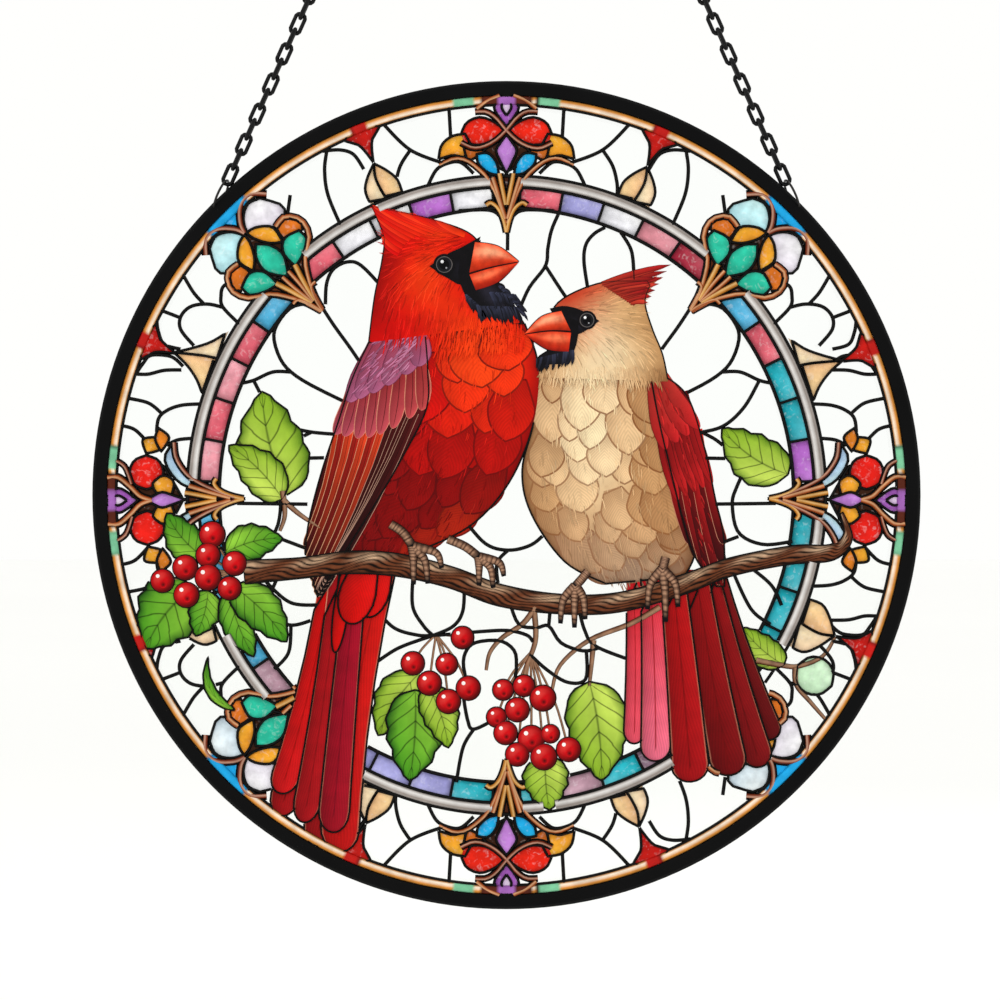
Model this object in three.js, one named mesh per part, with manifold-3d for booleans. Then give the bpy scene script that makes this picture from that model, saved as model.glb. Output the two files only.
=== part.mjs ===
// A round suncatcher: one clear glass pane in a black metal rim, a raised network of leading on its front face, and
// two link chains that meet in a hanging ring. Millimetres. It is drawn with X to the right, Y up and Z towards the
// viewer, and the hook's resting place is the origin. The last lines stand it up, Z upwards and its front towards -Y.

import * as THREE from "three";
import { mergeVertices } from "three/addons/utils/BufferGeometryUtils.js";
import Module from "manifold-3d";

const wasm = await Module();
wasm.setup();

// Rim and pane
const PANEL_RADIUS = 100;
const RIM_WIDTH = 3.6;
const RIM_DEPTH = 4.4;
const RIM_CHAMFER = 0.7;
const RIM_LAP = 0.6; // how far the rim's two lips reach over the glass
const PANE_DEPTH = 3;
const FIT = 0.2; // slack of the glass in the rim's channel
const ROUND_STEPS = 48;

// Leading and bronze came, laid on the front of the glass
const BED = 0.05; // film of cement under the metal
const LEAD_WIDTH = 0.9;
const LEAD_HEIGHT = 0.7;
const LEADING_RADIUS = 94.1;
const BRONZE_INNER = 94.4;
const BRONZE_OUTER = 96.1;
const BRONZE_HEIGHT = 0.9;
const SILVER_INNER = 74.2;
const SILVER_OUTER = 76.9;
const FIELD_RADIUS = 69.3; // line on the inner edge of the row of small tiles
const DART_TIP = 85.6;
const ORNAMENTS = 8;
const SECTOR = 360 / ORNAMENTS;

// Chains and rings
const CHAIN_LEAN = 24.1; // degrees off the vertical
const LINKS = 40; // even, so that the top link stands across the hanging ring
const LINK_WIRE = 1.1;
const LINK_WIDTH = 3.5;
const LINK_STEPS = 6;
const LINK_BITE = 0.3; // how far neighbouring links sink into each other
const EYE_ANGLE = 45.5; // degrees from the top of the rim to each hole
const EYE_RADIUS = 98.75;
const EYE_DIAMETER = 2;
const JUMP_RADIUS = 3.9;
const JUMP_WIRE = 0.6;
const JUMP_TURN = 8; // degrees that each jump ring is turned about its chain
const HANGER_RADIUS = 6.2;
const HANGER_WIRE = 0.9;
const HANGER_SIDES = 6;
const HANGER_STEPS = 16;
const CLEAR = 0.12; // slack between one ring or link and the next

const FLATTEN = 0.01; // steps smaller than this are smoothed away where links or the rim's holes are joined
const LEAD_FLATTEN = 0.16; // and on the hand-laid leading

const rad = THREE.MathUtils.degToRad;
const rimInner = PANEL_RADIUS - RIM_WIDTH;
const paneRadius = rimInner + RIM_LAP;

// Places of the eyes and of the hanging ring, measured from the centre of the panel
const eyeX = EYE_RADIUS * Math.sin(rad(EYE_ANGLE));
const eyeY = EYE_RADIUS * Math.cos(rad(EYE_ANGLE));
const chainRun = eyeX / Math.sin(rad(CHAIN_LEAN));
const hangerY = eyeY + chainRun * Math.cos(rad(CHAIN_LEAN));
const hangerInside = (HANGER_RADIUS - HANGER_WIRE / 2) * Math.cos(Math.PI / HANGER_STEPS);
const panelDrop = hangerY + hangerInside;

// Turns a closed mesh into a solid that can be joined and cut.
function solid(geometry) {
  const bare = geometry.clone();
  bare.deleteAttribute("normal");
  bare.deleteAttribute("uv");
  const welded = mergeVertices(bare, 1e-4);
  return new wasm.Manifold(
    new wasm.Mesh({
      numProp: 3,
      vertProperties: new Float32Array(welded.attributes.position.array),
      triVerts: new Uint32Array(welded.index.array),
    }),
  );
}

// The mesh of a finished solid, with the flat faces that its parts share made one.
function meshOf(body, flatten = FLATTEN) {
  const { vertProperties, triVerts } = body.asOriginal().simplify(flatten).getMesh();
  const geometry = new THREE.BufferGeometry();
  geometry.setAttribute("position", new THREE.BufferAttribute(vertProperties, 3));
  geometry.setIndex(new THREE.BufferAttribute(triVerts, 1));
  return geometry;
}

const joined = (bodies) => bodies.reduce((all, body) => all.add(body));

function ring(profile) {
  const points = [...profile, profile[0]].map(([r, y]) => new THREE.Vector2(r, y));
  return new THREE.LatheGeometry(points, ROUND_STEPS).rotateX(Math.PI / 2);
}

const band = (inner, outer, back, front) =>
  ring([
    [inner, back],
    [outer, back],
    [outer, front],
    [inner, front],
  ]);

// A point of the panel by radius and by degrees clockwise from the top.
const polar = (radius, degrees) =>
  new THREE.Vector2(radius * Math.sin(rad(degrees)), radius * Math.cos(rad(degrees)));

// A bowed line from one point to another, bulging to its left.
function bow(from, to, bulge, steps = 2) {
  const across = new THREE.Vector2(from.y - to.y, to.x - from.x).normalize();
  const middle = from.clone().lerp(to, 0.5).addScaledVector(across, 2 * bulge);
  return new THREE.QuadraticBezierCurve(from, middle, to).getPoints(steps);
}

// A closed outline: a list of curved stretches that meet in corners, each given by its steps and the points it passes.
const outline = (...stretches) =>
  stretches.map(([steps, ...points]) =>
    new THREE.SplineCurve(points.map(([x, y]) => new THREE.Vector2(x, y))).getPoints(steps),
  );

// A pointed leaf between its stalk and its tip.
function leaf([x, y, tipX, tipY, width], steps = 3) {
  const from = new THREE.Vector2(x, y);
  const to = new THREE.Vector2(tipX, tipY);
  return [bow(from, to, width / 2, steps), bow(to, from, width / 2, steps)];
}

// The points of an open line moved sideways by a distance, mitred at the corners.
function offset(points, distance) {
  return points.map((point, i) => {
    const a = point.clone().sub(points[Math.max(i - 1, 0)]).normalize();
    const b = points[Math.min(i + 1, points.length - 1)].clone().sub(point).normalize();
    const along = a.clone().add(b).normalize();
    const reach = distance / Math.max(along.dot(a), along.dot(b));
    return new THREE.Vector2(point.x - along.y * reach, point.y + along.x * reach);
  });
}

const prism = (points) =>
  solid(new THREE.ExtrudeGeometry(new THREE.Shape(points), { depth: LEAD_HEIGHT, bevelEnabled: false }));

// A lead line whose two ends run on a little, into the line that they meet.
function strip(points) {
  const run = LEAD_WIDTH / 3;
  const ends = points.map((point) => point.clone());
  const last = points.length - 1;
  ends[0].add(points[0].clone().sub(points[1]).setLength(run));
  ends[last].add(points[last].clone().sub(points[last - 1]).setLength(run));
  return prism([...offset(ends, LEAD_WIDTH / 2), ...offset(ends, -LEAD_WIDTH / 2).reverse()]);
}

// Lines of the clear cells of the border, drawn for one side of an ornament: beside a fleur three lines that meet in
// a fork, beside a trefoil one bowed line, and on either side one edge of a dart
function borderLines(axis, side, isFleur) {
  const at = (radius, degrees) => polar(radius, axis + side * degrees);
  const line = (from, to, bulge, steps) => bow(at(...from), at(...to), side * bulge, steps);
  const half = SECTOR / 2;
  const fork = [86.6, 15.4];
  const ownLines = isFleur
    ? [line([82.4, 11.2], fork, 0, 1), line(fork, [LEADING_RADIUS, 18.2], 0, 1), line(fork, [SILVER_OUTER, 19.6], 1)]
    : [line([LEADING_RADIUS, 17.2], [SILVER_OUTER, 13.8], 2.2)];
  return [...ownLines, line([LEADING_RADIUS, half - 2.3], [DART_TIP, half], 0, 1)];
}

// A round-topped petal under the tile row, and a line that runs on from its foot towards the middle
function fieldLines(middle) {
  const half = SECTOR / 4;
  const petal = [
    [46, -half],
    [60, -half * 0.9],
    [FIELD_RADIUS, 0],
    [60, half * 0.9],
    [46, half],
  ].map(([radius, degrees]) => polar(radius, middle + degrees));
  return [petal, [polar(46, middle + half), polar(28, middle + half)]];
}

// Outline of a fleur: a goblet of scrolls that carries two round jewels and a bud; drawn at the top of the panel
const FLEUR = outline(
  [3, [0, 64], [2.6, 72.5], [16.2, 79.6]],
  [3, [16.2, 79.6], [13.6, 86], [9.6, 90.8], [3.6, LEADING_RADIUS]],
  [3, [-3.6, LEADING_RADIUS], [-9.6, 90.8], [-13.6, 86], [-16.2, 79.6]],
  [3, [-16.2, 79.6], [-2.6, 72.5], [0, 64]],
);

// Outline of a trefoil: a cup of leaves under two round lobes and a pointed bud
const TREFOIL = outline(
  [3, [0, 64], [2, 72.5], [11.8, 82.6]],
  [3, [11.8, 82.6], [11, 89.6], [3.8, LEADING_RADIUS]],
  [3, [-3.8, LEADING_RADIUS], [-11, 89.6], [-11.8, 82.6]],
  [3, [-11.8, 82.6], [-2, 72.5], [0, 64]],
);

const turned = (shape, degrees) =>
  shape.map((stretch) => stretch.map((point) => point.clone().rotateAround(new THREE.Vector2(), -rad(degrees))));

// Stalk, tip and width of the broad leaves
const LEAVES = [
  [-53, 1, -58, 25, 17],
  [68, 4, 52, 16, 12],
  [-75, -23, -85, -37, 15],
  [-21, -43, -31, -58, 12],
  [-22, -47, -23, -69, 14],
  [20, -45, 23, -69, 15],
];

// The two crested birds and the branch, from the back to the front
const FIGURES = [
  // long tail of the red bird
  outline(
    [3, [-41.5, -16], [-48, -38], [-54, -58], [-57.5, -72]],
    [3, [-57.5, -72], [-52, -78], [-45, -81.5], [-38.5, -84.5]],
    [3, [-38.5, -84.5], [-33.5, -66], [-31.5, -46], [-27, -16]],
    [1, [-27, -16], [-41.5, -16]],
  ),
  // fanned tail of the buff bird
  outline(
    [2, [29, -21], [30.4, -40], [29.8, -59]],
    [5, [29.8, -59], [33, -63.5], [41, -63], [48.5, -69.5], [60.5, -66.5], [65, -60]],
    [2, [65, -60], [57, -40], [51, -20]],
    [1, [51, -20], [29, -21]],
  ),
  // branch
  outline(
    [7, [-63.5, -15.8], [-44, -14.3], [-26, -14.2], [-1, -21.7], [20, -24.2], [42, -19.4], [62, -13.4], [79, -12]],
    [2, [79, -12], [81.6, -9.6], [81, -6]],
    [2, [81, -6], [83.8, -10.5], [79.5, -15.6]],
    [7, [79.5, -15.6], [62, -17.8], [42, -24.2], [20, -28.8], [-2, -26.7], [-26, -19.6], [-44, -19.4], [-63, -21.4]],
    [1, [-63, -21.4], [-63.5, -15.8]],
  ),
  // body, wing, head and beak of the red bird
  outline(
    [7, [4.5, 41], [7.6, 30], [5.8, 15], [0, 2.5], [-9, -8.5], [-27, -16]],
    [3, [-27, -16], [-38, -12], [-40, 8], [-33, 36]],
    [1, [-33, 36], [4.5, 41]],
  ),
  outline(
    [5, [-31, 37], [-37.8, 26.6], [-45.6, 3.6], [-48.2, -8.5], [-48.4, -15]],
    [1, [-48.4, -15], [-45.6, -24.5]],
    [5, [-45.6, -24.5], [-37.8, -12], [-22, 13.3], [-19, 23], [-21, 36.5]],
    [2, [-21, 36.5], [-26, 38.4], [-31, 37]],
  ),
  outline(
    [4, [-32.7, 69.6], [-24, 67.6], [-14.5, 65.6], [-7, 61.4]],
    [2, [-7, 61.4], [-5.6, 53], [4.2, 42.3]],
    [3, [4.2, 42.3], [-8, 41], [-19, 39.4], [-33, 37]],
    [4, [-33, 37], [-32.6, 47], [-29.8, 58], [-32.7, 69.6]],
  ),
  outline(
    [3, [-7, 61.4], [-1.5, 60.2], [2.9, 56.2]],
    [3, [2.9, 56.2], [-0.8, 51], [-6.6, 49.4]],
    [2, [-6.6, 49.4], [-8.4, 55], [-7, 61.4]],
  ),
  // body, wing, head and beak of the buff bird
  outline(
    [7, [7.1, 28.3], [6.2, 17], [3.7, 4.5], [6, -4.5], [17, -18.5], [31, -22.6], [43.1, -19.3]],
    [3, [43.1, -19.3], [45, -6], [36.6, 27]],
    [1, [36.6, 27], [7.1, 28.3]],
  ),
  outline(
    [4, [36.6, 28], [43.5, 24.5], [49, 9], [52.1, -8.5], [52.8, -14.5]],
    [1, [52.8, -14.5], [52, -25.4]],
    [4, [52, -25.4], [46.6, -17.5], [41, 8.5], [36.6, 28]],
  ),
  outline(
    [4, [39.8, 55.4], [31, 52.8], [21.5, 50.6], [11.5, 45]],
    [2, [11.5, 45], [13.5, 35], [7.4, 28.6]],
    [3, [7.4, 28.6], [18, 27.4], [28, 26.6], [37.6, 28]],
    [3, [37.6, 28], [38.2, 36], [34.6, 46], [39.8, 55.4]],
  ),
  outline(
    [3, [11.8, 45], [8.4, 43], [4.7, 38.9]],
    [3, [4.7, 38.9], [9, 35.2], [15.3, 34.6]],
    [2, [15.3, 34.6], [16.4, 39], [11.8, 45]],
  ),
];

// Each figure covers what lies behind it and brings its own outline.
function covered(network, shape) {
  const inside = prism(shape.flatMap((stretch) => stretch.slice(0, -1)));
  return network.subtract(inside).add(joined(shape.map(strip)));
}

function leadingBody() {
  const flatBand = (inner, outer) => solid(band(inner, outer, 0, LEAD_HEIGHT));
  const lines = [];
  const ornaments = [];
  for (let i = 0; i < ORNAMENTS; i++) {
    const axis = i * SECTOR;
    const isFleur = i % 2 === 0;
    for (const side of [-1, 1]) {
      lines.push(...borderLines(axis, side, isFleur));
      lines.push(...fieldLines(axis + (side * SECTOR) / 4));
    }
    lines.push([polar(DART_TIP, axis + SECTOR / 2), polar(SILVER_OUTER, axis + SECTOR / 2)]);
    ornaments.push(turned(isFleur ? FLEUR : TREFOIL, axis));
  }
  const network = joined([
    flatBand(SILVER_INNER, SILVER_OUTER),
    flatBand(FIELD_RADIUS - LEAD_WIDTH / 2, FIELD_RADIUS + LEAD_WIDTH / 2),
    ...lines.map(strip),
  ]);
  const whole = [...ornaments, ...LEAVES.map((sizes) => leaf(sizes)), ...FIGURES].reduce(covered, network);
  const limit = new THREE.CylinderGeometry(LEADING_RADIUS, LEADING_RADIUS, 4 * LEAD_HEIGHT, ROUND_STEPS);
  return whole.intersect(solid(limit.rotateX(Math.PI / 2)));
}

// One oval link, standing in the plane of X and Y: a six-cornered ring of three-sided wire, ridge inwards, whose two
// halves are drawn apart
const linkRadius = (LINK_WIDTH - LINK_WIRE) / 2;
function link(innerLength) {
  const half = LINK_WIRE / 2;
  const stretch = innerLength / 2 + half - linkRadius;
  const section = [
    [linkRadius - half, 0],
    [linkRadius + half, -half],
    [linkRadius + half, half],
    [linkRadius - half, 0],
  ].map(([r, y]) => new THREE.Vector2(r, y));
  const geometry = new THREE.LatheGeometry(section, LINK_STEPS).rotateX(Math.PI / 2);
  const places = geometry.attributes.position;
  for (let i = 0; i < places.count; i++) places.setY(i, places.getY(i) + Math.sign(places.getY(i)) * stretch);
  return geometry;
}

// A straight chain that stands on the origin: its jump ring is centred below it and its top reaches the hanging ring.
const jumpSag = JUMP_RADIUS - Math.sqrt(JUMP_RADIUS ** 2 - (RIM_DEPTH / 2) ** 2);
const jumpCentre = JUMP_RADIUS - jumpSag / 2;
const chainStart = jumpCentre + JUMP_RADIUS - JUMP_WIRE / 2 - CLEAR;
const chainEnd = chainRun - HANGER_RADIUS + HANGER_WIRE / 2 + CLEAR;
const linkPitch = (chainEnd - chainStart + LINK_BITE) / LINKS;
function chainBody() {
  const innerLength = linkPitch - LINK_BITE;
  const links = Array.from({ length: LINKS }, (_, i) =>
    solid(
      link(innerLength)
        .rotateY((i % 2) * (Math.PI / 2))
        .translate(0, chainStart + innerLength / 2 + i * linkPitch, 0),
    ),
  );
  return joined(links);
}

function rimBody() {
  const half = RIM_DEPTH / 2;
  const channel = PANE_DEPTH / 2 + FIT;
  const channelRadius = paneRadius + FIT;
  const hoop = solid(
    ring([
      [rimInner, half],
      [rimInner, channel],
      [channelRadius, channel],
      [channelRadius, -channel],
      [rimInner, -channel],
      [rimInner, -half],
      [PANEL_RADIUS - RIM_CHAMFER, -half],
      [PANEL_RADIUS, -half + RIM_CHAMFER],
      [PANEL_RADIUS, half - RIM_CHAMFER],
      [PANEL_RADIUS - RIM_CHAMFER, half],
    ]),
  );
  const eyes = [-1, 1].map((side) =>
    solid(
      new THREE.CylinderGeometry(EYE_DIAMETER / 2, EYE_DIAMETER / 2, 2 * RIM_DEPTH, 12)
        .rotateX(Math.PI / 2)
        .translate(side * eyeX, eyeY, 0),
    ),
  );
  return eyes.reduce((body, eye) => body.subtract(eye), hoop);
}

// The hanging ring has flat facets inside, one of them at the very top, where the hook bears.
function hanger() {
  const corner = HANGER_WIRE / 2 / Math.cos(Math.PI / HANGER_SIDES);
  const section = Array.from({ length: HANGER_SIDES + 1 }, (_, i) => {
    const turn = ((i + 0.5) * 2 * Math.PI) / HANGER_SIDES;
    return new THREE.Vector2(HANGER_RADIUS + corner * Math.cos(turn), corner * Math.sin(turn));
  });
  return new THREE.LatheGeometry(section, HANGER_STEPS, Math.PI / HANGER_STEPS).rotateX(Math.PI / 2);
}

const paint = (color, roughness, metalness, extra = {}) =>
  new THREE.MeshStandardMaterial({ color, roughness, metalness, ...extra });

function named(name, geometry, material) {
  const mesh = new THREE.Mesh(geometry, material);
  mesh.name = name;
  return mesh;
}

const frontOfGlass = PANE_DEPTH / 2 + BED;

const panel = new THREE.Group();
panel.position.y = -panelDrop;
panel.add(
  named("rim", meshOf(rimBody()), paint(0x0a0a0b, 0.5, 0.6)),
  named(
    "glass_pane",
    new THREE.CylinderGeometry(paneRadius, paneRadius, PANE_DEPTH, ROUND_STEPS).rotateX(Math.PI / 2),
    paint(0xf4f8f6, 0.05, 0, { transparent: true, opacity: 0.35 }),
  ),
  named(
    "bronze_came",
    band(BRONZE_INNER, BRONZE_OUTER, 0, BRONZE_HEIGHT).translate(0, 0, frontOfGlass),
    paint(0xa8692c, 0.35, 0.9),
  ),
  named("leading", meshOf(leadingBody(), LEAD_FLATTEN).translate(0, 0, frontOfGlass), paint(0x15130f, 0.45, 0.5)),
);

for (const [name, side] of [
  ["left", -1],
  ["right", 1],
]) {
  const suspension = new THREE.Group();
  suspension.position.set(side * eyeX, eyeY, 0);
  suspension.rotation.z = side * rad(CHAIN_LEAN);
  suspension.add(
    named("chain_" + name, meshOf(chainBody()), paint(0x121214, 0.4, 0.8)),
    named(
      "jump_ring_" + name,
      new THREE.TorusGeometry(JUMP_RADIUS, JUMP_WIRE / 2, 6, 20)
        .rotateY(Math.PI / 2 + side * rad(JUMP_TURN))
        .translate(0, jumpCentre, 0),
      paint(0x2a2624, 0.35, 0.9),
    ),
  );
  panel.add(suspension);
}

const hangingRing = named("hanging_ring", hanger(), paint(0x121214, 0.4, 0.8));
hangingRing.position.y = hangerY;
panel.add(hangingRing);

const suncatcher = new THREE.Group();
suncatcher.name = "suncatcher";
suncatcher.rotation.x = Math.PI / 2;
suncatcher.add(panel);

export default suncatcher;
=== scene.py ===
import math
import random

import bmesh
import bpy
from mathutils import Matrix, Vector


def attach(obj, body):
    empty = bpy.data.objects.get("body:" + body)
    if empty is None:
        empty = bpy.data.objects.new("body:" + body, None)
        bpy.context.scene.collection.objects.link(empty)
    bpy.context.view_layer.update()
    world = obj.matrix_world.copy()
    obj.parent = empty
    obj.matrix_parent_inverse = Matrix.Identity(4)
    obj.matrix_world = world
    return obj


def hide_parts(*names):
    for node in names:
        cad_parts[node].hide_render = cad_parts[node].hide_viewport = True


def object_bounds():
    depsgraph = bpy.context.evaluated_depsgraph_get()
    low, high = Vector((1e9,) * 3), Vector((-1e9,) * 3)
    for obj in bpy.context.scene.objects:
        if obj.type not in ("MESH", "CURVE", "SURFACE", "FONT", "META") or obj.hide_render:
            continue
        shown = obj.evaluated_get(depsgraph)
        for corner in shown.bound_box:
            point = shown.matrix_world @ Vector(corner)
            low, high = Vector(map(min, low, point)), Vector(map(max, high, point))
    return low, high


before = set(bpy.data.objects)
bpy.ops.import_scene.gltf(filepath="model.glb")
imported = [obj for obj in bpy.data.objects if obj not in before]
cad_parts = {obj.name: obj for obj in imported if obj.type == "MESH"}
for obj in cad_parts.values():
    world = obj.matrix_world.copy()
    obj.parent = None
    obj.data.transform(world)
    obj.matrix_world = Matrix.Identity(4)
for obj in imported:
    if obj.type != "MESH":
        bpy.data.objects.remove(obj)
cad_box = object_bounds()

# Rim. A black satin metal hoop of U section that grips the edge of the glass all round. In the real one a
# hole near its outer edge at each shoulder of the panel takes a jump ring.
PANEL_RADIUS = 100
PANEL_DROP = -1000 * cad_box[0][2] - PANEL_RADIUS
RIM_FRONT = [(PANEL_RADIUS, 1.4), (99.2, 2.2), (96.4, 2.2), (96.4, 1.7), (97.2, 1.7)]
RIM_PROFILE = RIM_FRONT + [(radius, -forward) for radius, forward in reversed(RIM_FRONT)]
RIM_BEVEL = 0.25
ROUND_STEPS = 192


def place(x, y, forward):
    """A point of the panel in millimetres: right of and above its centre, and towards the viewer."""
    return Vector((x, -forward, y - PANEL_DROP)) / 1000


def colour(code):
    """The linear colour of a six-figure web colour."""
    shares = [int(code[i : i + 2], 16) / 255 for i in (0, 2, 4)]
    return tuple(s / 12.92 if s <= 0.04045 else ((s + 0.055) / 1.055) ** 2.4 for s in shares)


def blend(a, b, share):
    return tuple(p + (q - p) * min(max(share, 0), 1) for p, q in zip(a, b))


def tone(base, share):
    """The same colour, brighter for a share above nought and darker below it."""
    return tuple(min(1.0, c * (1 + share) + 0.012 * max(share, 0)) for c in base)


def add_node(tree, kind, values=None, **settings):
    """A new shader node with its settings, and with fixed values on some of its inputs."""
    made = tree.nodes.new("ShaderNode" + kind)
    for name, value in settings.items():
        setattr(made, name, value)
    for socket, value in (values or {}).items():
        made.inputs[socket].default_value = value
    return made


def mottle_group():
    """Soft cloudy changes of brightness, as in any hand-made surface."""
    group = bpy.data.node_groups.new("mottle", "ShaderNodeTree")
    group.interface.new_socket("Color", in_out="INPUT", socket_type="NodeSocketColor")
    for name in ("Scale", "Low", "High"):
        group.interface.new_socket(name, in_out="INPUT", socket_type="NodeSocketFloat")
    group.interface.new_socket("Color", in_out="OUTPUT", socket_type="NodeSocketColor")
    come = group.nodes.new("NodeGroupInput")
    leave = group.nodes.new("NodeGroupOutput")
    where = add_node(group, "TexCoord")
    noise = add_node(group, "TexNoise", {"Detail": 4})
    span = add_node(group, "MapRange", {"From Min": 0.3, "From Max": 0.7})
    times = add_node(group, "VectorMath", operation="SCALE")
    wire = group.links.new
    wire(where.outputs["Object"], noise.inputs["Vector"])
    wire(come.outputs["Scale"], noise.inputs["Scale"])
    wire(noise.outputs["Fac"], span.inputs["Value"])
    wire(come.outputs["Low"], span.inputs["To Min"])
    wire(come.outputs["High"], span.inputs["To Max"])
    wire(come.outputs["Color"], times.inputs[0])
    wire(span.outputs["Result"], times.inputs["Scale"])
    wire(times.outputs["Vector"], leave.inputs["Color"])
    return group


MOTTLE = mottle_group()


def shader(name, roughness, metallic, specular):
    """A new material, its node tree and its shader."""
    material = bpy.data.materials.new(name)
    material.use_nodes = True
    main = material.node_tree.nodes["Principled BSDF"]
    main.inputs["Roughness"].default_value = roughness
    main.inputs["Metallic"].default_value = metallic
    main.inputs["Specular IOR Level"].default_value = specular
    return material, material.node_tree, main


def mottled(tree, main, scale, low, high, tint=None):
    """Puts cloudy brightness over one colour, or over the colours that the mesh carries."""
    cloud = add_node(tree, "Group", {"Scale": scale, "Low": low, "High": high}, node_tree=MOTTLE)
    if tint:
        cloud.inputs["Color"].default_value = (*tint, 1)
    else:
        paint = add_node(tree, "Attribute", attribute_name="paint")
        tree.links.new(paint.outputs["Color"], cloud.inputs["Color"])
    tree.links.new(cloud.outputs["Color"], main.inputs["Base Color"])
    return cloud


def pitted(tree, main, scale, strength, distance):
    """Fine unevenness of the surface."""
    where = add_node(tree, "TexCoord")
    noise = add_node(tree, "TexNoise", {"Scale": scale})
    bump = add_node(tree, "Bump", {"Strength": strength, "Distance": distance})
    tree.links.new(where.outputs["Object"], noise.inputs["Vector"])
    tree.links.new(noise.outputs["Fac"], bump.inputs["Height"])
    tree.links.new(bump.outputs["Normal"], main.inputs["Normal"])


def metal(name, tint, roughness, metallic, specular):
    material, tree, main = shader(name, roughness, metallic, specular)
    mottled(tree, main, 60, 0.7, 1.3, tint)
    pitted(tree, main, 900, 0.15, 0.0003)
    return material


def piece(name, bm, material, node=None):
    """Makes the finished mesh an object of the part."""
    mesh = bpy.data.meshes.new(name)
    bm.to_mesh(mesh)
    bm.free()
    made = bpy.data.objects.new(name, mesh)
    bpy.context.scene.collection.objects.link(made)
    mesh.materials.append(material)
    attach(made, "root")
    if node:
        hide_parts(node)
    return made


def spun(profile, steps, smooth=True):
    """A closed ring round the middle of the panel from a closed profile of radius and forward distance."""
    bm = bmesh.new()
    corners = [bm.verts.new(place(radius, 0, forward)) for radius, forward in profile]
    edges = [bm.edges.new((corners[i - 1], corners[i])) for i in range(len(corners))]
    bmesh.ops.spin(
        bm,
        geom=corners + edges,
        cent=place(0, 0, 0),
        axis=(0, 1, 0),
        dvec=(0, 0, 0),
        angle=2 * math.pi,
        steps=steps,
        use_merge=True,
        use_duplicate=False,
    )
    bmesh.ops.remove_doubles(bm, verts=bm.verts, dist=1e-7)
    bmesh.ops.recalc_face_normals(bm, faces=bm.faces)
    for face in bm.faces:
        face.smooth = smooth
    return bm


BLACK_METAL = metal("black_metal", (0.002, 0.002, 0.0022), 0.5, 0.0, 0.07)
rim = piece("rim_hoop", spun(RIM_PROFILE, ROUND_STEPS, False), BLACK_METAL, "rim")
bevel = rim.modifiers.new("edges", "BEVEL")
bevel.width = RIM_BEVEL / 1000
bevel.segments = 2
bevel.limit_method = "ANGLE"

# Glass pane. One round sheet of clear glass with a faint wave in it. The rim holds it all round, and all
# colour and metal of the picture lies on its front face.
PANE_RADIUS = 97
PANE_HALF = 1.5

CLEAR_GLASS, tree, main = shader("clear_glass", 0.02, 0.0, 0.25)
main.inputs["Transmission Weight"].default_value = 1
main.inputs["IOR"].default_value = 1.45
mottled(tree, main, 30, 0.985, 1.0, (0.985, 1.0, 0.99))
pitted(tree, main, 60, 0.02, 0.0005)
bm = bmesh.new()
bmesh.ops.create_cone(
    bm,
    cap_ends=True,
    segments=ROUND_STEPS,
    radius1=PANE_RADIUS / 1000,
    radius2=PANE_RADIUS / 1000,
    depth=2 * PANE_HALF / 1000,
)
for vert in bm.verts:
    x, y, z = vert.co
    vert.co = (x, z, y - PANEL_DROP / 1000)
bmesh.ops.recalc_face_normals(bm, faces=bm.faces)
piece("pane_sheet", bm, CLEAR_GLASS, "glass_pane")

# Tile row. Small panes of coloured glass in a ring inside the silver came, five to each eighth of the
# circle, with room left for the stems of the border ornaments. Thin lead lines part them.
chance = random.Random(7)
TILE_INNER = 69.6
TILE_OUTER = 74.4
TILE_GLASS = {
    "pearl": "ecebf2",
    "blush": "e58f9c",
    "rose": "df5a6c",
    "wine": "a81f3a",
    "lilac": "9f9dd8",
    "violet": "b060c4",
    "teal": "0daab9",
    "sky": "4aafda",
    "plum": "7c5870",
    "dusk": "b48b9c",
}
TILES = [
    "rose lilac pearl blush wine",
    "sky rose teal teal violet",
    "teal teal teal teal dusk",
    "plum plum teal dusk teal",
    "teal lilac lilac lilac teal",
    "dusk sky sky sky sky",
    "blush rose blush rose sky",
    "rose pearl pearl violet pearl",
]
STEM_ROOM = 2.6


def polar(radius, degrees):
    """A point by its radius and its degrees clockwise from the top."""
    return (radius * math.sin(math.radians(degrees)), radius * math.cos(math.radians(degrees)))


def curve(points):
    """A smooth open line through the points, as a function of 0 to 1."""
    last = len(points) - 1

    def along(share):
        i = min(int(share * last), last - 1)
        t = share * last - i
        around = [points[min(max(i + k, 0), last)] for k in (-1, 0, 1, 2)]
        spot = []
        for a, b, c, d in zip(*around):
            bend = 2 * a - 5 * b + 4 * c - d + t * (3 * (b - c) + d - a)
            spot.append(b + 0.5 * t * (c - a + t * bend))
        return tuple(spot)

    return along


def even(count):
    return [i / count for i in range(count + 1)]


def sheet():
    """An empty mesh that carries painted colours and the place across and along each patch."""
    bm = bmesh.new()
    bm.verts.layers.float_color.new("paint")
    bm.verts.layers.float_vector.new("span")
    return bm


def patch(bm, left, right, across, along, tint, lift, grain=1):
    """A painted patch between two lines. tint gives the colour at a place across and along it. The grain
    says how many feathers wide and long the patch counts as."""
    made = bmesh.ops.create_grid(bm, x_segments=len(across) - 1, y_segments=len(along) - 1, size=1)
    paint = bm.verts.layers.float_color["paint"]
    span = bm.verts.layers.float_vector["span"]
    for vert in made["verts"]:
        u = across[round((vert.co.x + 1) / 2 * (len(across) - 1))]
        v = along[round((vert.co.y + 1) / 2 * (len(along) - 1))]
        a = left(v)
        b = right(v)
        vert.co = place(a[0] + (b[0] - a[0]) * u, a[1] + (b[1] - a[1]) * u, PANE_HALF + lift)
        vert[paint] = (*tint(u, v), 1)
        vert[span] = (0.5 + grain * (u - 0.5), grain * v, 0)


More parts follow.
